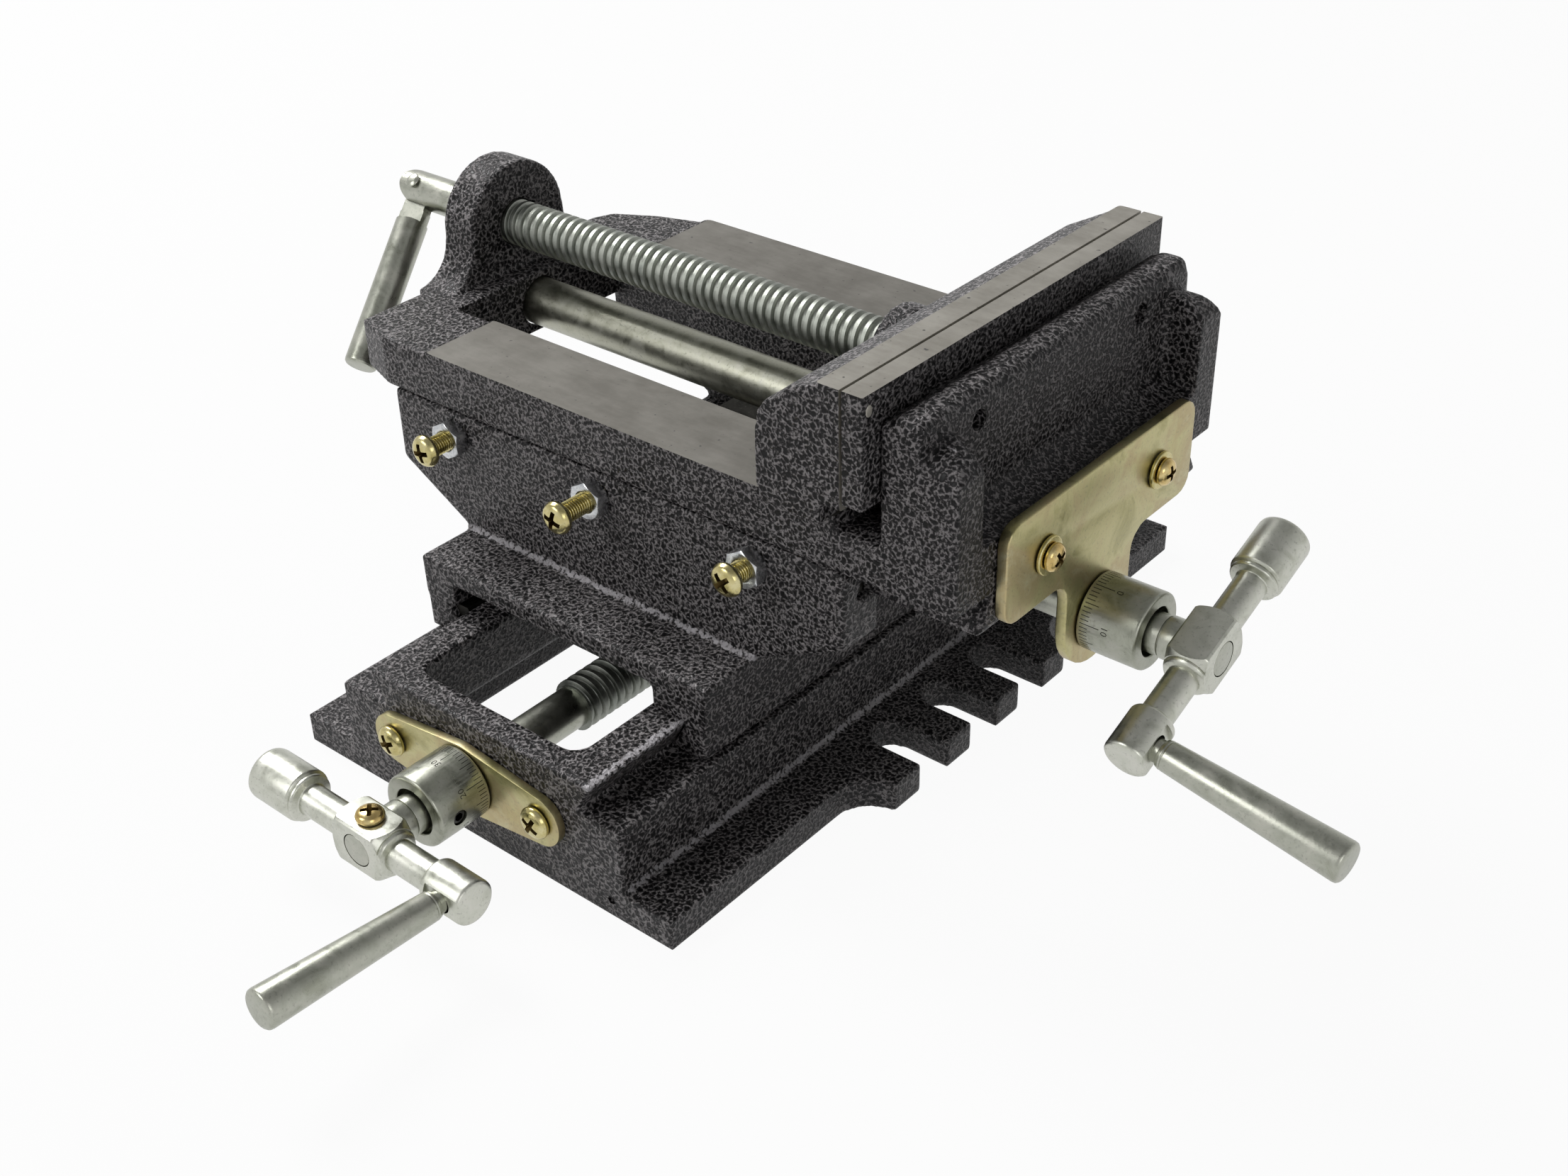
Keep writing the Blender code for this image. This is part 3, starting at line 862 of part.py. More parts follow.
def build_drive(axis_name, plate_face, wall_face, place, outward, thread_end, crank_along, lean):
    """One lead screw with its dial and crank, from the bracket plate outwards.

    plate_face and wall_face are distances along the outward axis of the plate's outer face and of
    the casting's inner side, where the screw's plain part starts.
    """
    out = Vector(outward)
    centre = Vector(place)
    dial_start = plate_face + GAP
    dial_end = dial_start + DIAL_LENGTH
    hub_start = dial_end + HUB_STANDOFF
    hub_end = hub_start + HUB_THICKNESS
    hub_middle = (hub_start + hub_end) / 2

    # The screw: thread, plain neck with a shoulder behind the plate, journal and stepped shaft
    shoulder = plate_face - (X_PLATE_THICKNESS if axis_name == "x" else Y_PLATE_THICKNESS) - 2 * GAP
    neck_start = wall_face - LEAD_NECK_LENGTH
    step = dial_end + 0.4 * HUB_STANDOFF
    profile = [
        (thread_end, LEAD_RADIUS - MM), (thread_end + MM, LEAD_RADIUS),
        (neck_start - MM, LEAD_RADIUS), (neck_start, LEAD_NECK_RADIUS),
        (shoulder, LEAD_NECK_RADIUS), (shoulder, JOURNAL_RADIUS), (dial_start, JOURNAL_RADIUS),
        (step, JOURNAL_RADIUS), (step, JOURNAL_RADIUS + 0.8 * MM), (hub_start - GAP, JOURNAL_RADIUS + 0.8 * MM),
        (hub_start - GAP, HUB_SHAFT_RADIUS), (hub_end, HUB_SHAFT_RADIUS),
    ]
    turned(f"{axis_name}_lead_screw", profile, centre, out, FINE, ZINC)

    # The dial: a thick collar with a wide counterbore in its outer face
    bore_depth = 0.3 * DIAL_LENGTH
    chamfer = 0.6 * MM
    dial_profile = [(dial_start, DIAL_RADIUS - chamfer), (dial_start + chamfer, DIAL_RADIUS),
                    (dial_end - chamfer, DIAL_RADIUS), (dial_end, DIAL_RADIUS - chamfer)]
    dial = turned(f"{axis_name}_dial", dial_profile, centre, out, FINE, ZINC)
    cut(dial, cylinder(f"{axis_name}_dial_bore", centre + out * (dial_start - MM), out, DIAL_LENGTH + 2 * MM,
                       JOURNAL_RADIUS + GAP, FINE))
    cut(dial, cylinder(f"{axis_name}_dial_counterbore", centre + out * (dial_end - bore_depth), out,
                       bore_depth + MM, DIAL_BORE + GAP, FINE))
    up = crank_along.cross(out)
    set_place = centre + out * (dial_start + 0.72 * DIAL_LENGTH - bore_depth)
    side = (-up + crank_along).normalized() if axis_name == "y" else up
    cut(dial, cylinder(f"{axis_name}_set_hole", set_place, side, 2 * DIAL_RADIUS, SET_SCREW_RADIUS + GAP, COARSE))
    cylinder(f"{axis_name}_dial_set_screw", set_place + side * (JOURNAL_RADIUS + GAP), side,
             DIAL_RADIUS - JOURNAL_RADIUS - 1.2 * MM, SET_SCREW_RADIUS, COARSE, POLISHED)

    # The crank: counterweight, hub block and knuckle turned on one arm, pinned on the shaft
    middle = centre + out * hub_middle
    arm_profile = [
        (-WEIGHT_REACH, WEIGHT_RADIUS - MM), (-WEIGHT_REACH + MM, WEIGHT_RADIUS),
        (-WEIGHT_REACH + WEIGHT_LENGTH - 1.6 * MM, WEIGHT_RADIUS),
        (-WEIGHT_REACH + WEIGHT_LENGTH, ARM_RADIUS + 0.8 * MM), (-WEIGHT_REACH + WEIGHT_LENGTH, ARM_RADIUS),
        (KNUCKLE_REACH - KNUCKLE_LENGTH, ARM_RADIUS), (KNUCKLE_REACH - KNUCKLE_LENGTH, KNUCKLE_RADIUS - MM),
        (KNUCKLE_REACH - KNUCKLE_LENGTH + MM, KNUCKLE_RADIUS), (KNUCKLE_REACH - MM, KNUCKLE_RADIUS),
        (KNUCKLE_REACH, KNUCKLE_RADIUS - MM),
    ]
    arm = turned(f"{axis_name}_crank_arm", arm_profile, middle, crank_along, FINE, ZINC)
    bevel = 2.2 * MM
    half_l = HUB_LENGTH / 2
    half_h = HUB_HEIGHT / 2
    hub_outline = []
    for (a, b), start in (((1, 1), 0), ((-1, 1), 90), ((-1, -1), 180), ((1, -1), 270)):
        hub_outline += arc((a * (half_l - bevel), b * (half_h - bevel)), bevel, start, start + 90, 3)
    hub = prism(f"{axis_name}_hub_block", hub_outline, "Z", -HUB_THICKNESS / 2, HUB_THICKNESS / 2)
    frame = Matrix((crank_along, out.cross(crank_along), out)).transposed().to_4x4()
    hub.data.transform(Matrix.Translation(middle) @ frame)
    weld(arm, hub)
    cut(arm, cylinder(f"{axis_name}_hub_bore", middle - out * HUB_THICKNESS, out, 2 * HUB_THICKNESS,
                      HUB_SHAFT_RADIUS + GAP, FINE))
    grip_middle = middle + crank_along * (KNUCKLE_REACH - KNUCKLE_LENGTH / 2)
    lean_out = (out + crank_along * tan(lean) + up * tan(HANDLE_TILT)).normalized()
    cut(arm, cylinder(f"{axis_name}_grip_hole", grip_middle - lean_out * 2 * MM, lean_out, 3 * KNUCKLE_RADIUS,
                      HANDLE_ROOT_RADIUS * 0.8 + GAP, COARSE))
    clamp_side = -up
    head_seat = half_h + GAP
    cut(arm, cylinder(f"{axis_name}_clamp_tap", middle + clamp_side * HUB_SHAFT_RADIUS, clamp_side,
                      HUB_HEIGHT, CLAMP_SCREW_RADIUS + GAP, COARSE))
    pan_screw(f"{axis_name}_crank_clamp_screw", middle + clamp_side * head_seat, -clamp_side, CLAMP_HEAD_RADIUS,
              CLAMP_HEAD_HEIGHT, CLAMP_SCREW_RADIUS, head_seat - HUB_SHAFT_RADIUS - GAP, BRASS)

    # The grip: a taper rod, thicker at its free end, with a spigot in the knuckle
    root = KNUCKLE_RADIUS + 1.0 * MM
    grip_profile = [
        (-1.5 * MM, HANDLE_ROOT_RADIUS * 0.8), (root, HANDLE_ROOT_RADIUS * 0.8), (root, HANDLE_ROOT_RADIUS),
        (HANDLE_LENGTH - 1.2 * MM, HANDLE_TIP_RADIUS), (HANDLE_LENGTH, HANDLE_TIP_RADIUS - 1.2 * MM),
    ]
    turned(f"{axis_name}_crank_handle", grip_profile, grip_middle, lean_out, FINE, ZINC)


def build_drives():
    x_face = BODY_RIGHT + GAP + X_PLATE_THICKNESS
    x_along = Vector((0, -cos(X_CRANK_ANGLE), -sin(X_CRANK_ANGLE)))
    build_drive("x", x_face, BODY_RIGHT, (0, BODY_MIDDLE_Y, X_LEAD_Z), (1, 0, 0), X_THREAD_LEFT, x_along,
                X_HANDLE_LEAN)
    y_face = BASE_LENGTH / 2 + GAP + Y_PLATE_THICKNESS
    y_along = Vector((cos(Y_CRANK_ANGLE), 0, sin(Y_CRANK_ANGLE)))
    build_drive("y", y_face, BASE_LENGTH / 2 - BASE_END_WALL, (0, 0, Y_LEAD_Z), (0, -1, 0), -Y_THREAD_FAR, y_along,
                Y_HANDLE_LEAN)


def carry(name, place, children, parent=None):
    """An empty on a joint's axis that carries the pieces moving with that joint."""
    empty = bpy.data.objects.new(name, None)
    empty.empty_display_size = 10 * MM
    bpy.context.scene.collection.objects.link(empty)
    empty.location = place
    pieces = [bpy.data.objects[child] for child in children]
    for piece in pieces:
        piece.parent = empty
        piece.matrix_parent_inverse = Matrix.Translation(-Vector(place))
    if parent is not None:
        empty.parent = parent
        empty.matrix_parent_inverse = Matrix.Translation(-parent.matrix_world.translation)
    bpy.context.view_layer.update()
    return empty


def named(*starts):
    """Names of the built pieces whose names begin with one of the given words."""
    return [item.name for item in bpy.data.objects
            if item.type == "MESH" and not item.hide_render and item.name.startswith(starts)]


build_base()
build_saddle()
build_body()
build_moving_jaw()
build_retainer()
build_jaw_screw()
build_fold_pin()
build_folding_handle()
build_guide_bar()
build_jaw_plate()
build_plate_screws()
build_gibs()
build_gib_screws()
build_lead_nuts()
build_x_plate()
build_y_plate()
build_drives()

# Each joint's empty stands on its axis and carries the pieces that move with it
X_TURNING = named("x_lead_screw", "x_dial", "x_crank")
Y_TURNING = named("y_lead_screw", "y_dial", "y_crank")
saddle_slide = carry("saddle_slide", (0, BODY_MIDDLE_Y, Y_LEAD_Z),
                     named("saddle_casting", "x_gib", "y_gib", "x_lead_nut", "y_lead_nut"))
body_slide = carry("body_slide", (0, BODY_MIDDLE_Y, X_LEAD_Z),
                   named("vise_body", "fixed_jaw_plate", "jaw_plate_screw", "guide_bar", "x_bracket"), saddle_slide)
jaw_slide = carry("jaw_slide", (JAW_LINE_X, BODY_MIDDLE_Y, JAW_SCREW_Z),
                  named("movable_jaw", "jaw_screw_retainer"), body_slide)
jaw_turn = carry("jaw_screw_turn", (JAW_LEFT, BODY_MIDDLE_Y, JAW_SCREW_Z),
                 ["jaw_screw", "folding_handle_pin"], jaw_slide)
carry("handle_fold", fold_frame()[0], ["folding_handle"], jaw_turn)
carry("x_screw_turn", (BODY_RIGHT, BODY_MIDDLE_Y, X_LEAD_Z), X_TURNING, body_slide)
carry("y_screw_turn", (0, -BASE_LENGTH / 2, Y_LEAD_Z), Y_TURNING)
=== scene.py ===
"""Looks of a cross vise: a drill press vise with hammered paint, ground ways and plated screws."""
from math import cos, pi, radians, sin, tan

import bpy
import numpy as np
from mathutils import Matrix, Vector


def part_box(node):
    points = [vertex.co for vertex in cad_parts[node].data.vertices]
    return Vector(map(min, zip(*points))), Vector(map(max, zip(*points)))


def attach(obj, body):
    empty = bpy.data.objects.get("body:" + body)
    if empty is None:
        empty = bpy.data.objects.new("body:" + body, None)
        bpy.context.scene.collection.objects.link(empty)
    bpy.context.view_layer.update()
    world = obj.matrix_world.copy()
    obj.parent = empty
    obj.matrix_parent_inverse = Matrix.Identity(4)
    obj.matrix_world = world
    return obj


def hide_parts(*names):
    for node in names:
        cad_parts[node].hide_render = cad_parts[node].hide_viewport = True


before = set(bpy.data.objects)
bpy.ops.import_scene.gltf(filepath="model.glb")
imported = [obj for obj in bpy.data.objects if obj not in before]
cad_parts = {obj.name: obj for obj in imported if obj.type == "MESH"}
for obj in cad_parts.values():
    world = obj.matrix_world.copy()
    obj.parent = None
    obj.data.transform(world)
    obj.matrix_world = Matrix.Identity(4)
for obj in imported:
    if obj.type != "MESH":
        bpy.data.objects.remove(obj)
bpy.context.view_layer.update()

scene = bpy.context.scene
scene.view_settings.view_transform = "Standard"
MM = 0.001


# Camera: the photograph was taken with a normal lens from the front right corner,
# looking down by a third of a right angle, about 0.6 m from the vise.
CAMERA_TURN = radians(40.45)
CAMERA_HEIGHT = radians(33.11)
CAMERA_ROLL = radians(-1.43)
CAMERA_PLACE = Vector((318.31, -364.62, 333.50)) * MM
PHOTO_WIDTH = 2212
FOCAL_PIXELS = 2774
FILM_WIDTH = 36

camera_back = Vector((sin(CAMERA_TURN) * cos(CAMERA_HEIGHT),
                      -cos(CAMERA_TURN) * cos(CAMERA_HEIGHT), sin(CAMERA_HEIGHT)))
level_right = Vector((cos(CAMERA_TURN), sin(CAMERA_TURN), 0))
level_up = camera_back.cross(level_right)
camera_right = level_right * cos(CAMERA_ROLL) + level_up * sin(CAMERA_ROLL)
camera_up = level_up * cos(CAMERA_ROLL) - level_right * sin(CAMERA_ROLL)
lens = bpy.data.cameras.new("photo_camera")
lens.sensor_width = FILM_WIDTH
lens.lens = FILM_WIDTH * FOCAL_PIXELS / PHOTO_WIDTH
lens.clip_start = 0.01
camera = bpy.data.objects.new("photo_camera", lens)
scene.collection.objects.link(camera)
camera_turn = Matrix((camera_right, camera_up, camera_back)).transposed().to_4x4()
camera.matrix_world = Matrix.Translation(CAMERA_PLACE) @ camera_turn
scene.camera = camera


# Studio: a white table in a pale grey room, lit by three wide soft lamps. The camera sees
# the table nearly white, with the vise's soft shadow on it.
def new_material(name):
    """A new material with its node tree and its shader."""
    made = bpy.data.materials.new(name)
    made.use_nodes = True
    return made, made.node_tree, made.node_tree.nodes["Principled BSDF"]


def wire(tree, node, sockets):
    """Links each named socket of a node to an output, or gives it a value."""
    for socket, value in sockets.items():
        if isinstance(value, bpy.types.NodeSocket):
            tree.links.new(value, node.inputs[socket])
        else:
            node.inputs[socket].default_value = value


def add_node(tree, kind, sockets=None, **options):
    """A new node with its options and its sockets set."""
    made = tree.nodes.new(kind)
    for option, choice in options.items():
        setattr(made, option, choice)
    wire(tree, made, sockets or {})
    return made


def add_ramp(tree, factor, stops):
    """A colour that follows a factor through stops of (position, colour)."""
    made = add_node(tree, "ShaderNodeValToRGB", {"Fac": factor})
    elements = made.color_ramp.elements
    for element, (position, colour) in zip(elements, (stops[0], stops[-1])):
        element.position = position
        element.color = (*colour, 1)
    for position, colour in stops[1:-1]:
        elements.new(position).color = (*colour, 1)
    return made.outputs["Color"]


def mix_of(tree, factor, first, second):
    """A mix of two shaders by a factor."""
    return add_node(tree, "ShaderNodeMixShader", {0: factor, 1: first, 2: second}).outputs[0]


world = bpy.data.worlds.new("studio")
scene.world = world
world.use_nodes = True
room = world.node_tree

# Light that reaches the paint is a faint grey, bright metal sees walls that darken
# towards the ceiling, and the camera sees plain white
WALL_LIGHT = 0.07
WALL_SHINE = 0.8
WALL_TONES = ((0.0, (1, 1, 1)), (0.45, (0.75, 0.75, 0.75)), (0.92, (0.35, 0.35, 0.35)))
direction = add_node(room, "ShaderNodeTexCoord")
split = add_node(room, "ShaderNodeSeparateXYZ", {0: direction.outputs["Generated"]})
walls = add_ramp(room, split.outputs["Z"], WALL_TONES)
path = add_node(room, "ShaderNodeLightPath")
light = room.nodes["Background"]
wire(room, light, {"Color": (1, 1, 1, 1), "Strength": WALL_LIGHT})
shine = add_node(room, "ShaderNodeBackground", {"Color": walls, "Strength": WALL_SHINE})
white = add_node(room, "ShaderNodeBackground", {"Color": (1, 1, 1, 1), "Strength": 1.0})
lit = mix_of(room, path.outputs["Is Glossy Ray"], light.outputs[0], shine.outputs[0])
seen = mix_of(room, path.outputs["Is Camera Ray"], lit, white.outputs[0])
wire(room, room.nodes["World Output"], {"Surface": seen})

# The table glows for the camera and for reflections alone, and keeps the vise's shadow
FLOOR_SIZE = 8
FLOOR_GREY = 0.6
FLOOR_SEEN = 0.95
FLOOR_SHINE = 0.8
bpy.ops.object.select_all(action="DESELECT")
bpy.ops.mesh.primitive_plane_add(size=FLOOR_SIZE, location=(0, 0, 0))
floor = bpy.context.object
floor.name = "studio_floor"
white_table, tree, shader = new_material("studio_floor")
wire(tree, shader, {"Base Color": (FLOOR_GREY, FLOOR_GREY, FLOOR_GREY, 1), "Roughness": 0.95})
path = add_node(tree, "ShaderNodeLightPath")
camera_share = add_node(tree, "ShaderNodeMath", {0: path.outputs["Is Camera Ray"], 1: FLOOR_SEEN},
                        operation="MULTIPLY")
glow_share = add_node(tree, "ShaderNodeMath", {0: path.outputs["Is Glossy Ray"], 1: FLOOR_SHINE,
                                               2: camera_share.outputs[0]},
                      operation="MULTIPLY_ADD")
glow = add_node(tree, "ShaderNodeEmission")
shown = mix_of(tree, glow_share.outputs[0], shader.outputs[0], glow.outputs[0])
wire(tree, tree.nodes["Material Output"], {"Surface": shown})
floor.data.materials.append(white_table)


LAMP_AIM = Vector((0.0, 0.0, 0.06))


def soft_lamp(name, place, size, power):
    """A square lamp at a place, turned towards the middle of the vise."""
    light = bpy.data.lights.new(name, "AREA")
    light.size = size
    light.energy = power
    lamp = bpy.data.objects.new(name, light)
    scene.collection.objects.link(lamp)
    lamp.location = place
    lamp.rotation_euler = (LAMP_AIM - Vector(place)).to_track_quat("-Z", "Y").to_euler()


soft_lamp("key", (-1.05, 0.1, 1.2), 0.6, 22)
soft_lamp("fill", (1.1, -0.7, 0.6), 0.5, 1.8)
soft_lamp("front", (-0.5, -1.1, 0.85), 0.6, 5)


# Base casting: the bed of grey iron, sand cast and covered all over in hammered paint.
# It stands on the drill's table and carries the long dovetail.
def mm(x, y, z):
    """A place or a size given in millimetres."""
    return Vector((x, y, z)) * MM


def only(piece):
    """Selects one piece alone."""
    bpy.ops.object.select_all(action="DESELECT")
    piece.select_set(True)
    bpy.context.view_layer.objects.active = piece


def apply_all(piece):
    """Applies every modifier of a piece in order."""
    only(piece)
    for change in list(piece.modifiers):
        bpy.ops.object.modifier_apply(modifier=change.name)


def bare_copy(node, name):
    """A copy of a CAD piece with its loose triangles merged and its flat faces joined."""
    piece = bpy.data.objects.new(name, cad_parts[node].data.copy())
    scene.collection.objects.link(piece)
    piece.data.materials.clear()
    only(piece)
    bpy.ops.object.mode_set(mode="EDIT")
    bpy.ops.mesh.select_all(action="SELECT")
    bpy.ops.mesh.remove_doubles(threshold=0.01 * MM)
    bpy.ops.mesh.dissolve_limited(angle_limit=radians(0.5))
    bpy.ops.object.mode_set(mode="OBJECT")
    return piece


def block(low, high):
    """A plain box, mostly used as a tool to cut or join with."""
    middle = (Vector(low) + Vector(high)) / 2
    bpy.ops.object.select_all(action="DESELECT")
    bpy.ops.mesh.primitive_cube_add(size=1, location=middle)
    made = bpy.context.object
    made.scale = Vector(high) - Vector(low)
    bpy.ops.object.transform_apply(location=True, rotation=True, scale=True)
    return made


def drill(place, direction, length, radius, sides=32):
    """A round tool that starts at a place and runs along a direction."""
    bpy.ops.object.select_all(action="DESELECT")
    turn = Vector(direction).to_track_quat("Z", "Y")
    middle = Vector(place) + Vector(direction).normalized() * length / 2
    bpy.ops.mesh.primitive_cylinder_add(vertices=sides, radius=radius, depth=length,
                                        location=middle, rotation=turn.to_euler())
    bpy.ops.object.transform_apply(location=True, rotation=True, scale=True)
    return bpy.context.object


def join(piece, tool, operation):
    """Joins, cuts or intersects a piece with a tool, which is used up."""
    change = piece.modifiers.new("joint", "BOOLEAN")
    change.operation = operation
    change.solver = "EXACT"
    change.object = tool
    only(piece)
    bpy.ops.object.modifier_apply(modifier=change.name)
    bpy.data.objects.remove(tool)


GRAIN = 0.8 * MM


def sand_cast(piece, faces_kept):
    """Rounds the corners and fills the creases of a piece, as a sand mould leaves them, and
    then takes out faces where it is flat."""
    remesh = piece.modifiers.new("mould", "REMESH")
    remesh.mode = "VOXEL"
    remesh.voxel_size = GRAIN
    soften = piece.modifiers.new("soften", "SMOOTH")
    soften.factor = 0.5
    soften.iterations = 5
    thin = piece.modifiers.new("thin", "DECIMATE")
    thin.ratio = faces_kept
    apply_all(piece)


def mark_creases(piece, lines, width):
    """Writes on each vertex how near it lies to the creases (mm) where bright flecks are painted:
    painted glints for light caught on creases and edges, with a little rubbed paint.
    """
    count = len(piece.data.vertices)
    places = np.empty(count * 3, dtype=np.float32)
    piece.data.vertices.foreach_get("co", places)
    places = places.reshape(count, 3)
    nearness = np.zeros(count, dtype=np.float32)
    for start, end in lines:
        start = np.array(start, dtype=np.float32) * MM
        along = np.array(end, dtype=np.float32) * MM - start
        share = np.clip((places - start) @ along / (along @ along), 0, 1)
        away = np.linalg.norm(places - start - share[:, None] * along, axis=1)
        nearness = np.maximum(nearness, np.clip(1 - away / (width * MM), 0, 1))
    piece.data.attributes.new("crease_glint", "FLOAT", "POINT").data.foreach_set("value", nearness)


def noise(tree, place, scale, detail, **others):
    """A noise texture on a place."""
    sockets = {"Vector": place, "Scale": scale, "Detail": detail, **others}
    return add_node(tree, "ShaderNodeTexNoise", sockets)


def stretched(tree, value, low, high, at_low=0.0, at_high=1.0):
    """A value stretched from one range to another."""
    sockets = {"Value": value, "From Min": low, "From Max": high, "To Min": at_low,
               "To Max": at_high}
    return add_node(tree, "ShaderNodeMapRange", sockets).outputs["Result"]


def product(tree, first, second):
    """Two values multiplied."""
    return add_node(tree, "ShaderNodeMath", {0: first, 1: second}, operation="MULTIPLY").outputs[0]


def blend(tree, factor, first, second):
    """A mix of two colours by a factor."""
    sockets = {"Factor": factor, "A": first, "B": second}
    return add_node(tree, "ShaderNodeMix", sockets, data_type="RGBA").outputs["Result"]


def relief(tree, height, strength, distance):
    """A bumpy surface, its height in metres at most the distance."""
    sockets = {"Height": height, "Strength": strength, "Distance": distance}
    return add_node(tree, "ShaderNodeBump", sockets).outputs["Normal"]


def hammered_paint():
    """Charcoal hammered paint: dark dimples a millimetre wide between thin pale grey veins."""
    made, tree, shader = new_material("hammered_paint")
    place = add_node(tree, "ShaderNodeTexCoord").outputs["Object"]
    wobble = noise(tree, place, 500, 2)
    shift = add_node(tree, "ShaderNodeVectorMath", {0: wobble.outputs["Color"],
                                                    1: (0.0016, 0.0016, 0.0016), 2: place},
                     operation="MULTIPLY_ADD")
    cells = add_node(tree, "ShaderNodeTexVoronoi", {"Scale": 660, "Vector": shift.outputs[0]},
                     feature="DISTANCE_TO_EDGE")
    veins = stretched(tree, cells.outputs["Distance"], 0.0, 0.30, 1.0, 0.0)
    flake = noise(tree, place, 1100, 3, Roughness=0.65)
    pale = product(tree, veins, stretched(tree, flake.outputs["Fac"], 0.36, 0.56))
    tones = add_ramp(tree, pale, ((0.08, (0.004, 0.0038, 0.004)), (0.4, (0.055, 0.051, 0.052)),
                                  (0.75, (0.32, 0.30, 0.303))))

    # Along some creases and edges bright flecks are painted: painted glints that stand in for light
    # caught there, with a little rubbed paint
    crease_glint = add_node(tree, "ShaderNodeAttribute", attribute_name="crease_glint")
    speck = noise(tree, place, 850, 4)
    glint_flecks = product(tree, crease_glint.outputs["Fac"], speck.outputs["Fac"])
    paint_and_glints = blend(tree, stretched(tree, glint_flecks, 0.33, 0.39), tones, (0.5, 0.48, 0.5, 1))
    wire(tree, shader, {"Base Color": paint_and_glints, "Normal": relief(tree, pale, 0.9, 0.3 * MM),
                        "Roughness": 0.34, "Specular IOR Level": 0.17})
    return made


PAINT = hammered_paint()


def fit(piece, material, body, slot, *nodes):
    """Gives a finished piece its shading, its material and its place on the vise."""
    only(piece)
    bpy.ops.object.shade_smooth_by_angle(angle=radians(35))
    if not piece.data.materials:
        piece.data.materials.append(material)
    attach(piece, body)
    if nodes:
        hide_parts(*nodes)


# Lines (mm) on the base where painted glints are laid
BASE_GLINT_CREASES = (((52.5, -114, 9.5), (52.5, 112, 9.5)), ((42.5, -70, 37.8), (42.5, -116, 37.8)))
base = bare_copy("base_casting", "base_body")
sand_cast(base, 0.35)
join(base, drill(mm(48, -117, 5.1), (0, 1, 0), 7 * MM, 1.2 * MM), "DIFFERENCE")
mark_creases(base, BASE_GLINT_CREASES, 3.4)
fit(base, PAINT, "base", "hammered_paint", "base_casting")


# Saddle casting: the cross slide between the base and the vise body, with a deep dovetail
# in its underside and another across its top. Sand cast and painted like the base.
saddle = bare_copy("saddle_casting", "saddle_body")
sand_cast(saddle, 0.35)
# Painted glints along the saddle's ledge crease
mark_creases(saddle, (((-50, -64.7, 51.2), (54, -64.7, 51.2)),), 3.0)
fit(saddle, PAINT, "saddle", "hammered_paint", "saddle_casting")


# Vise body: bed, screw lug and fixed jaw in one casting. After painting, the two ways are
# ground flat, which leaves bare warm grey iron with faint grinding marks.
def ground_iron(name, level):
    """Bare ground cast iron, warm grey, with faint scratches, stains and a few pores."""
    made, tree, shader = new_material(name)
    place = add_node(tree, "ShaderNodeTexCoord").outputs["Object"]
    drawn_out = add_node(tree, "ShaderNodeMapping", {"Rotation": (0, 0, radians(28)),
                                                     "Scale": (160, 700, 400), "Vector": place})
    marks = noise(tree, drawn_out.outputs[0], 1, 4).outputs["Fac"]
    stain = noise(tree, place, 75, 6, Roughness=0.6).outputs["Fac"]
    both = add_node(tree, "ShaderNodeMath", {0: marks, 1: 0.3, 2: stain}, operation="MULTIPLY_ADD")
    tones = add_ramp(tree, both.outputs[0],
                     ((0.48, (0.15 * level, 0.141 * level, 0.122 * level)),
                      (0.82, (0.225 * level, 0.214 * level, 0.19 * level))))
    pores = stretched(tree, noise(tree, place, 650, 1).outputs["Fac"], 0.72, 0.78)
    wire(tree, shader, {"Base Color": blend(tree, pores, tones, (0.09, 0.085, 0.08, 1)),
                        "Normal": relief(tree, marks, 0.15, 0.1 * MM), "Metallic": 0.35,
                        "Roughness": 0.5, "Specular IOR Level": 0.4})
    return made


# One ground iron at two brightnesses: the jaws' copy, 1.75 times lighter, is painted light, since
# the lamps light the jaws less than the ways
GROUND_WAY = ground_iron("ground_way", 1.0)
GROUND_JAW_LIGHTER = ground_iron("ground_jaw_painted_light", 1.75)


def grind(piece, low, high, axis, sign, bare=GROUND_JAW_LIGHTER):
    """Cuts a box off a piece and leaves the cut face as bare ground iron."""
    join(piece, block(low, high), "DIFFERENCE")
    if len(piece.data.materials) < 2:
        piece.data.materials.append(bare)
    level = (low if sign > 0 else high)[axis]
    for face in piece.data.polygons:
        on_level = abs(face.center[axis] - level) < 0.02 * MM
        if on_level and face.normal[axis] * sign > 0.9:
            if all(low[k] <= face.center[k] <= high[k] for k in range(3) if k != axis):
                face.material_index = 1


def merge(name, *pieces):
    """Makes several pieces one object."""
    bpy.ops.object.select_all(action="DESELECT")
    for piece in pieces:
        piece.select_set(True)
    bpy.context.view_layer.objects.active = pieces[0]
    bpy.ops.object.join()
    pieces[0].name = name
    return pieces[0]


def soften_edges(piece, width, segments=3, angle=30):
    """Rounds the edges of a piece, as a file or a barrel of stones does."""
    bevel = piece.modifiers.new("edges", "BEVEL")
    bevel.width = width
    bevel.segments = segments
    bevel.limit_method = "ANGLE"
    bevel.angle_limit = radians(angle)
    apply_all(piece)


# The screws' places and the lug's radius are in mm, the rest in metres
SCREW_AXIS = Vector((0, -7.5, 114.4))
LUG_RADIUS = 18
WAY_TOP = 101.7 * MM
WAY_LEFT = -61 * MM
WAY_RIGHT = 77.7 * MM
NEAR_WAY_EDGE, FAR_WAY_EDGE = -39.5 * MM, 24.5 * MM
CORNER_WIDTH = 14 * MM
PLATE_SCREW_ROWS = (-42, 27)
PLATE_SCREW_Z = 125
# Stock left on for the grinder, and what keeps two faces from lying in one plane
EXTRA = 2.5 * MM
SHY = 0.01 * MM

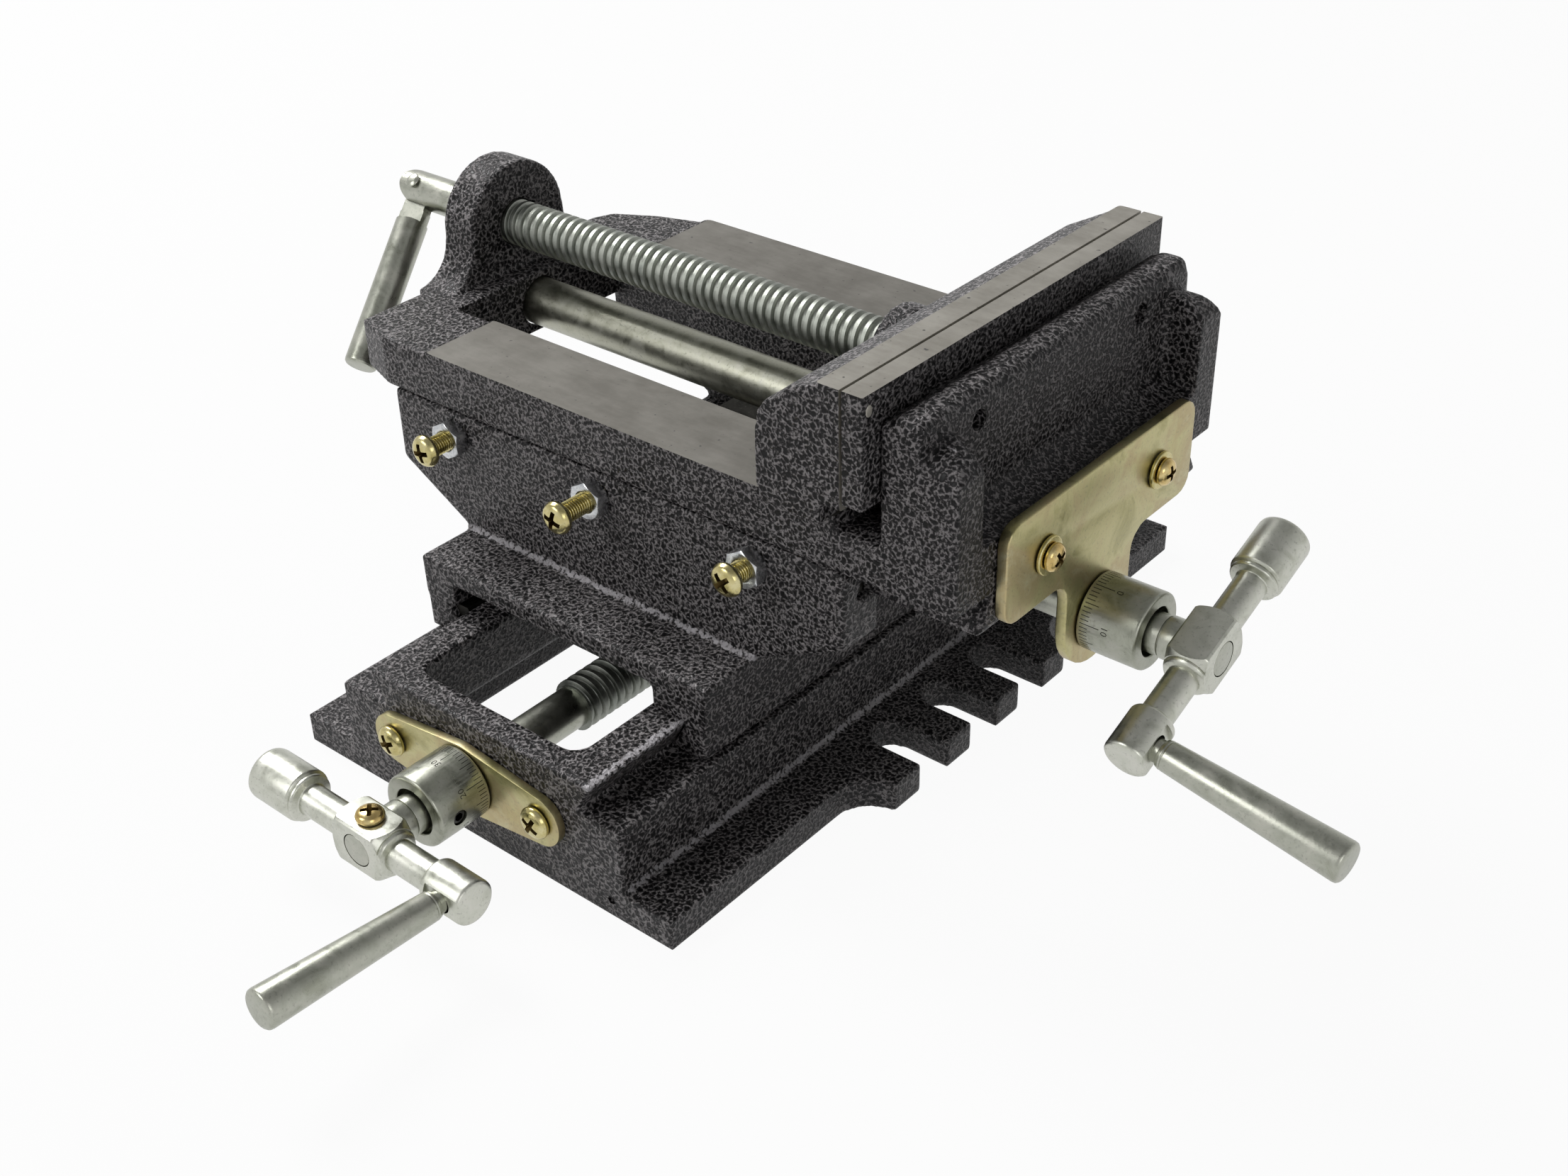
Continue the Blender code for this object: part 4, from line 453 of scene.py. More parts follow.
body_low, body_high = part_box("vise_body")
body = bare_copy("vise_body", "vise_body_casting")
for low_y, high_y in ((body_low.y, NEAR_WAY_EDGE), (FAR_WAY_EDGE, body_high.y)):
    stock = block((WAY_LEFT, low_y + SHY, WAY_TOP - MM),
                  (WAY_RIGHT - 0.1 * MM, high_y - SHY, WAY_TOP + EXTRA))
    join(body, stock, "UNION")
for end_y in (body_low.y, body_high.y - CORNER_WIDTH):
    corner = block((92.8 * MM, end_y, 112 * MM),
                   (101.8 * MM, end_y + CORNER_WIDTH, 132.5 * MM))
    soften_edges(corner, 2.6 * MM, 4)
    join(body, corner, "UNION")
wall_face = block((90.8 * MM, body_low.y + 0.03 * MM, 97.5 * MM),
                  (95 * MM, body_high.y - 0.03 * MM, 130.4 * MM))
merge("vise_body_casting", body, wall_face)
sand_cast(body, 0.4)
body.data.materials.append(PAINT)
painted_end = block((WAY_LEFT - 5 * MM, body_low.y - MM, WAY_TOP + 0.02 * MM),
                    (WAY_LEFT + MM, body_high.y + MM, WAY_TOP + 4 * MM))
join(body, painted_end, "DIFFERENCE")
for low_y, high_y in ((body_low.y - MM, -30 * MM), (15 * MM, body_high.y + MM)):
    grind(body, (WAY_LEFT, low_y, WAY_TOP), (WAY_RIGHT + 2 * MM, high_y, WAY_TOP + 4 * MM), 2, 1,
          GROUND_WAY)
for y in PLATE_SCREW_ROWS:
    hole = drill((104 * MM, y * MM, PLATE_SCREW_Z * MM), (-1, 0, 0), 5.5 * MM, 2.6 * MM)
    join(body, hole, "DIFFERENCE")
# Lines (mm) on the body where painted glints are laid: the lug's edge, creases behind the fixed jaw
# and the buttress corners
lug_edge = [(-82.5, SCREW_AXIS.y - LUG_RADIUS * cos(radians(angle)),
             SCREW_AXIS.z + LUG_RADIUS * sin(radians(angle))) for angle in range(-10, 85, 10)]
body_glint_creases = list(zip(lug_edge, lug_edge[1:]))
body_glint_creases += [((103, -30, 106), (103, 20, 106)), ((103, -58, 127), (110, -58, 125)),
                 ((93, -62, 129), (100, -62, 129)), ((-94, -38, 102), (-82, -36, 102)),
                 ((104, 37, 108), (104, 37, 122)), ((111, 38, 121), (103, 38, 126))]
mark_creases(body, body_glint_creases, 1.5)
fit(body, PAINT, "body", "hammered_paint", "vise_body")


# Moving jaw: a painted casting that slides on the ways. Its gripping face and the strip
# on top are ground after painting. The hole on its boss takes the pin that holds the screw.
STRIP = 6.1 * MM
jaw_low, jaw_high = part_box("movable_jaw")
jaw = bare_copy("movable_jaw", "moving_jaw_casting")
for left, bottom in ((jaw_high.x - STRIP, jaw_high.z - MM), (jaw_high.x - MM, 107.5 * MM)):
    stock = block((left, jaw_low.y + SHY, bottom),
                  (jaw_high.x + EXTRA, jaw_high.y - SHY, jaw_high.z + EXTRA))
    join(jaw, stock, "UNION")
sand_cast(jaw, 0.4)
jaw.data.materials.append(PAINT)
jaw_far = (jaw_high.x + 5 * MM, jaw_high.y + MM, jaw_high.z + 5 * MM)
grind(jaw, (jaw_low.x - MM, jaw_low.y - MM, jaw_high.z), jaw_far, 2, 1)
grind(jaw, (jaw_high.x, jaw_low.y - MM, 90 * MM), jaw_far, 0, 1)
pin_hole = drill((60.8 * MM, SCREW_AXIS.y * MM, 132 * MM), (0, 0, -1), 8 * MM, 2.0 * MM)
join(jaw, pin_hole, "DIFFERENCE")
fit(jaw, PAINT, "moving_jaw", "hammered_paint", "movable_jaw")


# Fixed jaw plate: a painted iron facing bolted against two pads of the fixed jaw. Only its
# top and its gripping face are ground. A small bare plug shows on its back, by the near end.
PLUG_RADIUS, PLUG_LENGTH = 1.15 * MM, 2 * MM
plate_low, plate_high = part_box("fixed_jaw_plate")
facing = block((plate_low.x - EXTRA, plate_low.y, plate_low.z),
               (plate_high.x, plate_high.y, plate_high.z + EXTRA))
soften_edges(facing, 0.5 * MM)
facing.data.materials.append(PAINT)
grind(facing, (plate_low.x - 5 * MM, plate_low.y - MM, plate_high.z),
      (plate_high.x + MM, plate_high.y + MM, plate_high.z + 5 * MM), 2, 1)
grind(facing, (plate_low.x - 5 * MM, plate_low.y - MM, plate_low.z - MM),
      (plate_low.x, plate_high.y + MM, plate_high.z + MM), 0, -1)
bpy.ops.object.select_all(action="DESELECT")
bpy.ops.mesh.primitive_cylinder_add(vertices=20, radius=PLUG_RADIUS, depth=PLUG_LENGTH,
                                    rotation=(0, pi / 2, 0),
                                    location=(plate_high.x - 0.8 * MM, -67.4 * MM, 134.2 * MM))
plug = bpy.context.object
plug.scale = (1.3, 1, 1)
bpy.ops.object.transform_apply(location=True, rotation=True, scale=True)
soften_edges(plug, 0.3 * MM)
plug.data.materials.append(ground_iron("bare_plug", 3.0))
merge("jaw_facing", facing, plug)
fit(facing, PAINT, "body", "ground_steel", "fixed_jaw_plate")


# Jaw screw: a turned steel bar with a coarse rounded thread, zinc plated. It is screwed
# through the lug, turns in the moving jaw, and its outer end is slotted for the handle.
def plated(name, colours, roughness, patch, grime=0.0):
    """Zinc plate over turned steel: cloudy patches of colour and gloss, with a fine mottle."""
    made, tree, shader = new_material(name)
    place = add_node(tree, "ShaderNodeTexCoord").outputs["Object"]
    cloud = noise(tree, place, patch, 6, Roughness=0.62, Distortion=0.6).outputs["Fac"]
    mottle = noise(tree, place, 1300, 2).outputs["Fac"]
    steps = len(colours) - 1
    tones = add_ramp(tree, cloud, [(0.32 + 0.36 * k / steps, colour)
                                   for k, colour in enumerate(colours)])
    spots = stretched(tree, mottle, 0.58, 0.75, 0.0, 0.35 + grime)
    gloss = stretched(tree, cloud, 0.3, 0.7, roughness * 0.8, roughness * 1.25)
    wire(tree, shader, {"Base Color": blend(tree, spots, tones, (0.13, 0.13, 0.115, 1)),
                        "Normal": relief(tree, mottle, 0.3, 0.06 * MM), "Metallic": 1,
                        "Roughness": gloss})
    return made


ZINC = plated("zinc_plate", ((0.33, 0.34, 0.28), (0.42, 0.43, 0.37), (0.48, 0.48, 0.42)),
              0.31, 180)
THREAD_ZINC = plated("zinc_plated_thread",
                     ((0.23, 0.245, 0.22), (0.31, 0.325, 0.29), (0.36, 0.37, 0.335)), 0.46, 220)


def eased(profile, radius=0.4, steps=3):
    """A lathe profile with its corners rounded. A third number is a corner's own radius."""
    points = [(Vector(point[:2]), point[2] if len(point) > 2 else radius) for point in profile]
    outline = [points[0][0]]
    for (before, _), (corner, size), (after, _) in zip(points, points[1:], points[2:]):
        back, on = before - corner, after - corner
        cut = min(size, 0.45 * back.length, 0.45 * on.length)
        if cut <= 0:
            outline.append(corner)
            continue
        start, end = corner + back.normalized() * cut, corner + on.normalized() * cut
        for k in range(steps + 1):
            share = k / steps
            outline.append(start * (1 - share) ** 2 + corner * 2 * share * (1 - share)
                           + end * share ** 2)
    outline.append(points[-1][0])
    return outline


# Radius at which the lathe's profiles close, in place of nought
CENTRE = 0.25


def turned(name, profile, sides=48):
    """A round piece on the lathe, along +Z: a disc whose last face is pulled out and sized for
    each step of a profile of (level, radius) in mm."""
    bpy.ops.object.select_all(action="DESELECT")
    level, width = profile[0]
    bpy.ops.mesh.primitive_circle_add(vertices=sides, radius=width * MM, fill_type="NGON",
                                      location=(0, 0, 0))
    piece = bpy.context.object
    piece.name = name
    bpy.ops.object.mode_set(mode="EDIT")
    bpy.ops.mesh.select_all(action="SELECT")
    bpy.ops.transform.translate(value=(0, 0, level * MM))
    for next_level, next_width in profile[1:]:
        move = {"value": (0, 0, (next_level - level) * MM)}
        bpy.ops.mesh.extrude_region_move(TRANSFORM_OT_translate=move)
        share = next_width / width
        bpy.ops.transform.resize(value=(share, share, 1), center_override=(0, 0, next_level * MM))
        level, width = next_level, next_width
    bpy.ops.mesh.select_all(action="SELECT")
    bpy.ops.mesh.normals_make_consistent(inside=False)
    bpy.ops.object.mode_set(mode="OBJECT")
    return piece


def seat(piece, origin, along, side=None):
    """Moves a piece made at the origin to its place (mm), +Z along a direction, +X to a side."""
    along = Vector(along).normalized()
    side = Vector(side) if side is not None else along.orthogonal()
    side = (side - along * side.dot(along)).normalized()
    turn = Matrix((side, along.cross(side), along)).transposed().to_4x4()
    piece.matrix_world = Matrix.Translation(Vector(origin) * MM) @ turn
    only(piece)
    bpy.ops.object.transform_apply(location=True, rotation=True, scale=True)
    return piece


def threaded(start, end, crest, root, pitch, sides=32, flat=0.4):
    """A right-hand thread along +Z (mm): one tooth's outline is wound up, its turns are merged,
    and both ends are cut off flat. Flat is the crest's share of the pitch."""
    flank = (1 - flat) / 2 * 0.45
    land = (1 - flat - 2 * flank) / 2
    depth = crest - root
    rise = [(0, root), (land * 0.7, root), (land + flank * 0.2, root + depth * 0.12),
            (land + flank * 0.8, crest - depth * 0.2), (land + flank * 1.15, crest)]
    outline = rise + [(1 - level, width) for level, width in reversed(rise)]
    bpy.ops.object.select_all(action="DESELECT")
    bpy.ops.mesh.primitive_plane_add(size=MM, location=(0, 0, 0))
    tooth = bpy.context.object
    bpy.ops.object.mode_set(mode="EDIT")
    bpy.ops.mesh.select_all(action="SELECT")
    bpy.ops.mesh.merge(type="CENTER")
    bpy.ops.transform.translate(value=(root * MM, 0, (start - 2 * pitch) * MM))
    for (level, width), (next_level, next_width) in zip(outline, outline[1:]):
        move = {"value": ((next_width - width) * MM, 0, (next_level - level) * pitch * MM)}
        bpy.ops.mesh.extrude_region_move(TRANSFORM_OT_translate=move)
    bpy.ops.object.mode_set(mode="OBJECT")
    wind = tooth.modifiers.new("wind", "SCREW")
    wind.axis = "Z"
    wind.screw_offset = pitch * MM
    wind.iterations = int((end - start) / pitch) + 4
    wind.steps = wind.render_steps = sides
    apply_all(tooth)
    bpy.ops.object.mode_set(mode="EDIT")
    bpy.ops.mesh.select_all(action="SELECT")
    bpy.ops.mesh.remove_doubles(threshold=0.005 * MM)
    for level, way in ((start, -1), (end, 1)):
        bpy.ops.mesh.select_all(action="SELECT")
        bpy.ops.mesh.bisect(plane_co=(0, 0, level * MM), plane_no=(0, 0, way), use_fill=True,
                            clear_outer=True)
    bpy.ops.mesh.select_all(action="SELECT")
    bpy.ops.mesh.normals_make_consistent(inside=False)
    bpy.ops.object.mode_set(mode="OBJECT")
    return tooth


PIVOT = SCREW_AXIS - Vector((123.5, 0, 0))
PIN_TILT = radians(49)
PIN_AXIS = Vector((0, cos(PIN_TILT), -sin(PIN_TILT)))
SHAFT = 5.4
LEAD = 3.0
shank = turned("shank", eased([(-129, CENTRE), (-129, SHAFT, 0.2), (-93.5, SHAFT),
                               (-93.5, CENTRE)], 0.2), 64)
tail = turned("tail", eased([(56, CENTRE), (56, 5.2), (59.0, 5.2), (59.0, 4.9), (62.6, 4.9),
                             (62.6, 6.6, 0.5), (68.5, 6.6, 0.8), (68.5, CENTRE)], 0.2), 48)
ridge = threaded(-94, 57, 6.6, 5.45, LEAD, 40)
for turning in (shank, tail, ridge):
    seat(turning, SCREW_AXIS, (1, 0, 0))
round_end = turned("round_end", [(-9, CENTRE), (-9, 5.5), (9, 5.5), (9, CENTRE)], 64)
seat(round_end, PIVOT, PIN_AXIS)
join(round_end, block(mm(-123.5, -20, 100), mm(-90, 5, 128)), "UNION")
join(shank, round_end, "INTERSECT")
handle_slot = block(mm(-2.0, -9, -12), mm(2.0, 9, 4.9))
join(shank, seat(handle_slot, PIVOT, (1, 0, 0), PIN_AXIS), "DIFFERENCE")
join(shank, drill((PIVOT - PIN_AXIS * 10) * MM, PIN_AXIS, 20 * MM, 1.85 * MM), "DIFFERENCE")
soften_edges(shank, 0.35 * MM, 2)
shank.data.materials.append(ZINC)
tail.data.materials.append(ZINC)
ridge.data.materials.append(THREAD_ZINC)
fit(merge("jaw_screw_turned", shank, tail, ridge), ZINC, "jaw_screw", "zinc_steel", "jaw_screw")


# Folding handle: a round bar whose top is milled to a flat tang, held in the screw's slot by
# a riveted pin, so that it folds in line with the screw or hangs beside it.
FOLD_ANGLE = radians(103.5)
ACROSS = Vector((0, -sin(PIN_TILT), -cos(PIN_TILT)))
BAR_WAY = Vector((-1, 0, 0)) * cos(FOLD_ANGLE) + ACROSS * sin(FOLD_ANGLE)
bar = turned("folding_bar", eased([(7.8, CENTRE), (7.8, 4.8, 0.5), (58.5, 4.8, 1.3),
                                   (58.5, CENTRE)], 0.4), 64)
join(bar, block(mm(-1.7, -4.2, 0), mm(1.7, 4.2, 9)), "UNION")
join(bar, drill(mm(-1.7, 0, 0), (1, 0, 0), 3.4 * MM, 4.2 * MM, 48), "UNION")
for low, high in (((1.7, -6, 5), (6, 6, 11.4)), ((-6, -6, 5), (-1.7, 6, 11.4))):
    join(bar, block(mm(*low), mm(*high)), "DIFFERENCE")
join(bar, drill(mm(-9, 0, 0), (1, 0, 0), 18 * MM, 1.95 * MM), "DIFFERENCE")
soften_edges(bar, 0.25 * MM, 2)
seat(bar, PIVOT, BAR_WAY, PIN_AXIS)
fit(bar, ZINC, "folding_handle", "zinc_steel", "folding_handle")

rivet_end = [(-6.5, CENTRE), (-6.45, 1.2), (-6.0, 2.1), (-5.7, 2.25, 0.1), (-5.6, 1.8, 0.1)]
rivet = turned("handle_rivet", eased(
    rivet_end + [(-point[0], *point[1:]) for point in reversed(rivet_end)], 0.3), 32)
seat(rivet, PIVOT, PIN_AXIS)
fit(rivet, ZINC, "jaw_screw", "bright_steel", "folding_handle_pin")


# Guide bar: a drawn steel bar pressed into the body below the jaw screw. The moving jaw
# slides along it, which leaves it dull with oil.
OILED = plated("oiled_bar", ((0.34, 0.34, 0.27), (0.44, 0.44, 0.36), (0.50, 0.50, 0.43)),
               0.38, 200, 0.1)
guide = turned("guide_rod", eased([(-90, CENTRE), (-90, 7, 0.8), (92.5, 7, 0.8),
                                   (92.5, CENTRE)], 0.6), 64)
seat(guide, (0, SCREW_AXIS.y, 91.6), (1, 0, 0))
fit(guide, OILED, "body", "bright_steel", "guide_bar")


# Gib screws: six pan head screws with a cross recess, three on each slide, in yellow zinc.
# Each pushes the gib strip against its dovetail, and a bright lock nut holds its setting.
BRASSY = plated("yellow_zinc_screws", ((0.44, 0.38, 0.15), (0.56, 0.49, 0.23), (0.66, 0.60, 0.34)),
                0.24, 300)
GOLDEN = plated("golden_zinc_screws", ((0.50, 0.35, 0.12), (0.62, 0.46, 0.19), (0.72, 0.60, 0.30)),
                0.22, 300)
# Inside the cross recesses the screws are coloured dark olive brown
RECESS = plated("dark_recess", ((0.13, 0.09, 0.03), (0.22, 0.16, 0.06)), 0.4, 300)
BRIGHT = plated("bright_zinc", ((0.42, 0.44, 0.46), (0.60, 0.61, 0.62), (0.70, 0.71, 0.71)),
                0.25, 400)


def pick(piece, test):
    """Opens a piece for editing, with only the points selected whose place passes a test."""
    only(piece)
    bpy.ops.object.mode_set(mode="EDIT")
    bpy.ops.mesh.select_mode(type="VERT")
    bpy.ops.mesh.select_all(action="DESELECT")
    bpy.ops.object.mode_set(mode="OBJECT")
    for vertex in piece.data.vertices:
        vertex.select = test(vertex.co)
    bpy.ops.object.mode_set(mode="EDIT")


def cross_recess(head_radius, head_height):
    """The driver's cross: two wings that taper down to a small square, round a hollow middle."""
    span, half, depth = 0.66 * head_radius, 0.16 * head_radius, 0.95 * head_height
    recess = None
    for wide, deep in ((span, half), (half, span)):
        wing = block(mm(-wide, -deep, head_height - depth), mm(wide, deep, head_height + 0.4))
        pick(wing, lambda place: place.z < (head_height - depth / 2) * MM)
        bpy.ops.transform.resize(value=(0.55, 0.55, 1), center_override=(0, 0, 0))
        bpy.ops.object.mode_set(mode="OBJECT")
        if recess:
            join(recess, wing, "UNION")
        else:
            recess = wing
    bpy.ops.object.select_all(action="DESELECT")
    bpy.ops.mesh.primitive_cone_add(vertices=8, radius1=0.1 * MM, radius2=0.30 * head_radius * MM,
                                    depth=(depth + 0.5) * MM,
                                    location=(0, 0, (head_height - depth / 2 + 0.2) * MM))
    hollow = bpy.context.object
    bpy.ops.object.transform_apply(location=True, rotation=True, scale=True)
    join(recess, hollow, "UNION")
    return recess


def pan_screw(name, head_radius, head_height, radius, reach, pitch, plate):
    """A pan head screw: the head stands on z = 0, the threaded shank runs down."""
    h, r = head_height, head_radius
    head = turned(name, eased([(-0.4, CENTRE), (-0.4, radius * 0.9), (0, radius * 0.9),
                               (0, r * 0.94, 0.12), (0.30 * h, r, 0.3), (0.72 * h, r * 0.86, 0.5),
                               (0.95 * h, r * 0.52, 0.5), (h, CENTRE)], 0.3), 40)
    join(head, cross_recess(r, h), "DIFFERENCE")
    head.data.materials.append(plate)
    head.data.materials.append(RECESS)
    for face in head.data.polygons:
        place = face.center / MM
        inner = (place.x ** 2 + place.y ** 2) ** 0.5 < 0.62 * r
        if inner and 0 < place.z < 0.93 * h and face.normal.z < 0.75:
            face.material_index = 1
    shank = threaded(-reach, -0.05, radius, radius * 0.82, pitch, 16, 0.2)
    shank.data.materials.append(plate)
    return merge(name, head, shank)


def copy_of(piece, name):
    """A copy with its own mesh."""
    made = bpy.data.objects.new(name, piece.data.copy())
    scene.collection.objects.link(made)
    return made


GIB_HEAD, GIB_HEAD_HEIGHT, GIB_RADIUS, GIB_PITCH = 4.6, 3.2, 2.8, 0.8
NUT_HEIGHT = 4.0
NUT_CORNER = 5.5
nut = turned("nut", [(0, NUT_CORNER), (NUT_HEIGHT, NUT_CORNER)], 6)
blank = turned("nut_blank", [(-0.01, CENTRE), (-0.01, 4.8), (0.5, 5.65), (NUT_HEIGHT - 0.5, 5.65),
                             (NUT_HEIGHT + 0.01, 4.75), (NUT_HEIGHT + 0.01, CENTRE)], 64)
join(nut, blank, "INTERSECT")
bore = turned("nut_bore", [(-0.1, CENTRE), (-0.1, 3.3), (0.4, 2.85), (NUT_HEIGHT - 0.4, 2.85),
                           (NUT_HEIGHT + 0.1, 3.3), (NUT_HEIGHT + 0.1, CENTRE)], 32)
join(nut, bore, "DIFFERENCE")
soften_edges(nut, 0.1 * MM, 2, 25)
# name, axis across the gib, outward way, nut's seat and gib on that axis, heads, their turns
GIB_ROWS = (("x", 1, (0, -1, 0), -64.8, -59.07,
             ((-52.6, -74.5, 79.5), (0, -77.5, 79.5), (52.6, -73.0, 79.5)), (12, 75, 40)),
            ("y", 0, (-1, 0, 0), -52.3, -41.46,
             ((-61, -57.75, 33.3), (-63, -7.5, 33.3), (-61.5, 42.75, 33.3)), (20, 55, 5)))
for name, axis, way, nut_seat, gib, heads, turns in GIB_ROWS:
    level_way = Vector((1, 0, 0)) if name == "x" else Vector((0, 1, 0))
    for k, head in enumerate(heads):
        screw = pan_screw(f"{name}_gib_screw_turned_{k + 1}", GIB_HEAD, GIB_HEAD_HEIGHT,
                          GIB_RADIUS, abs(head[axis] - gib), GIB_PITCH, BRASSY)
        tilt = radians(turns[k])
        seat(screw, head, way, level_way * cos(tilt) + Vector((0, 0, sin(tilt))))
        fit(screw, BRASSY, "saddle", "yellow_zinc_screws", f"{name}_gib_screw_{k + 1}")
        place = Vector(head)
        place[axis] = nut_seat
        lock = seat(copy_of(nut, f"{name}_gib_nut_turned_{k + 1}"), place, way, level_way)
        fit(lock, BRIGHT, "saddle", "zinc_steel", f"{name}_gib_nut_{k + 1}")
bpy.data.objects.remove(nut)


# Bracket plates: a T shaped plate on the vise body's right end and a diamond shaped one on the
# base's near end, stamped from sheet with rolled edges and yellow zinc plated.
YELLOW = plated("yellow_zinc_plate", ((0.33, 0.30, 0.13), (0.50, 0.46, 0.24), (0.46, 0.38, 0.21),
                                      (0.58, 0.55, 0.35)), 0.36, 55)
for node, body_name, rim in (("x_bracket_plate", "body", 0.75), ("y_bracket_plate", "base", 0.6)):
    stamped = bare_copy(node, node + "_stamped")
    soften_edges(stamped, rim * MM, 4)
    fit(stamped, YELLOW, body_name, "yellow_zinc_plate", node)


# Bracket screws: two pan head screws hold each plate, those of the T shaped plate on thin
# washers. All are yellow zinc plated.
X_OUT, Y_OUT = Vector((1, 0, 0)), Vector((0, -1, 0))
X_SCREW_ROWS = (-32.5, 17.5)
x_pattern = pan_screw("x_bracket_pattern", 3.7, 2.4, 2.0, 10, 0.7, GOLDEN)
y_pattern = pan_screw("y_bracket_pattern", 4.6, 2.7, 2.0, 10, 0.7, BRASSY)
for name, pattern, out, level_way, body_name, places, turns in (
        ("x", x_pattern, X_OUT, Vector((0, 1, 0)), "body",
         [(116.8, y, 90.3) for y in X_SCREW_ROWS], (30, 5)),
        ("y", y_pattern, Y_OUT, Vector((1, 0, 0)), "base",
         [(x, -119.0, 21.2) for x in (-26.7, 26.7)], (25, 60))):
    for k, place in enumerate(places):
        tilt = radians(turns[k])
        screw = seat(copy_of(pattern, f"{name}_bracket_screw_turned_{k + 1}"), place, out,
                     level_way * cos(tilt) + Vector((0, 0, sin(tilt))))
        fit(screw, BRASSY, body_name, "yellow_zinc_screws", f"{name}_bracket_screw_{k + 1}")
    bpy.data.objects.remove(pattern)
washer = turned("washer", eased([(0, CENTRE), (0, 5.0, 0.25), (0.9, 5.0, 0.35), (0.9, CENTRE)]), 48)
join(washer, drill((0, 0, -MM), (0, 0, 1), 4 * MM, 2.2 * MM), "DIFFERENCE")
for k, y in enumerate(X_SCREW_ROWS):
    ring = seat(copy_of(washer, f"x_bracket_washer_turned_{k + 1}"), (115.6, y, 90.3), X_OUT)
    fit(ring, BRASSY, "body", "yellow_zinc_screws", f"x_bracket_washer_{k + 1}")
bpy.data.objects.remove(washer)


# Drives: each lead screw is turned and threaded from one bar. Its plain end carries a
# graduated dial with a set screw, and a crank with a counterweight and a tapered handle.
GROOVE = plated("dark_groove", ((0.07, 0.07, 0.06), (0.12, 0.12, 0.10)), 0.5, 300)
BLACKENED = plated("blackened_steel", ((0.03, 0.03, 0.03), (0.07, 0.07, 0.065)), 0.35, 300)
DIAL_ZINC = plated("zinc_dial", ((0.27, 0.28, 0.23), (0.36, 0.37, 0.31), (0.42, 0.42, 0.37)),
                   0.31, 200)
ARM_ZINC = plated("zinc_arm", ((0.46, 0.47, 0.40), (0.58, 0.59, 0.52), (0.64, 0.64, 0.58)),
                  0.34, 180)
DIAL_RADIUS = 10.2
DIAL_LENGTH = 16.4
DIAL_MARKS = 60
MARK_START = 0.9
MARK_LENGTHS = {0: 5.4, 5: 3.8}
DIGIT_SIZE, DIGIT_START, DIGIT_RELIEF = 2.6, 6.9, 0.3
DIAL_GAP = 0.3
SET_SCREW_START = 10.2
HUB_GAP = 7.5
HUB_WIDTH = 11
LEAD_CREST, LEAD_ROOT = 7.2, 6.0


def dial(name):
    """A thick ring with a wide counterbore, engraved with marks and with a digit at each ten."""
    ring = turned(name, eased([(0, CENTRE), (0, DIAL_RADIUS, 0.5), (DIAL_LENGTH, DIAL_RADIUS, 0.9),
                               (DIAL_LENGTH, CENTRE)], 0.5), 120)
    hollow = turned("hollow", eased([(-1, CENTRE), (-1, 4.9), (11.5, 4.9), (11.5, 6.5),
                                     (DIAL_LENGTH - 0.3, 6.5, 0.2), (DIAL_LENGTH + 0.5, 7.2),
                                     (DIAL_LENGTH + 0.5, CENTRE)], 0.1), 64)
    join(ring, hollow, "DIFFERENCE")
    cuts = []
    for mark in range(DIAL_MARKS):
        length = MARK_LENGTHS.get(mark % 10, 2.3)
        cutter = block(mm(DIAL_RADIUS - 0.16, -0.11, MARK_START),
                       mm(DIAL_RADIUS + 0.4, 0.11, MARK_START + length))
        cutter.data.transform(Matrix.Rotation(2 * pi * mark / DIAL_MARKS, 4, "Z"))
        cuts.append(cutter)
    join(ring, merge("marks", *cuts), "DIFFERENCE")
    for number in range(0, DIAL_MARKS, 10):
        bpy.ops.object.select_all(action="DESELECT")
        bpy.ops.object.text_add(location=(0, 0, 0))
        digits = bpy.context.object
        digits.data.body = str(number)
        digits.data.size = DIGIT_SIZE * MM
        digits.data.align_x = "CENTER"
        digits.data.resolution_u = 2
        digits.data.extrude = DIGIT_RELIEF * MM
        bpy.ops.object.convert(target="MESH")
        for point in digits.data.vertices:
            across, up, height = point.co
            angle = 2 * pi * number / DIAL_MARKS + across / (DIAL_RADIUS * MM)
            radius = DIAL_RADIUS * MM - 0.12 * MM + (height + DIGIT_RELIEF * MM)
            point.co = (radius * cos(angle), radius * sin(angle), DIGIT_START * MM + up)
        join(ring, digits, "DIFFERENCE")
    ring.data.materials.append(DIAL_ZINC)
    # The engraved marks and digits are coloured dark
    ring.data.materials.append(GROOVE)
    for face in ring.data.polygons:
        place = face.center / MM
        around = (place.x ** 2 + place.y ** 2) ** 0.5
        if 9.9 < around < DIAL_RADIUS - 0.04 and 0.88 < place.z < 10:
            face.material_index = 1
    return ring


# The handle's seat in the knuckle, and how far the clamp screw stands from the hub's middle
GRIP_REACH = 29.25
CLAMP_REACH = 7.05


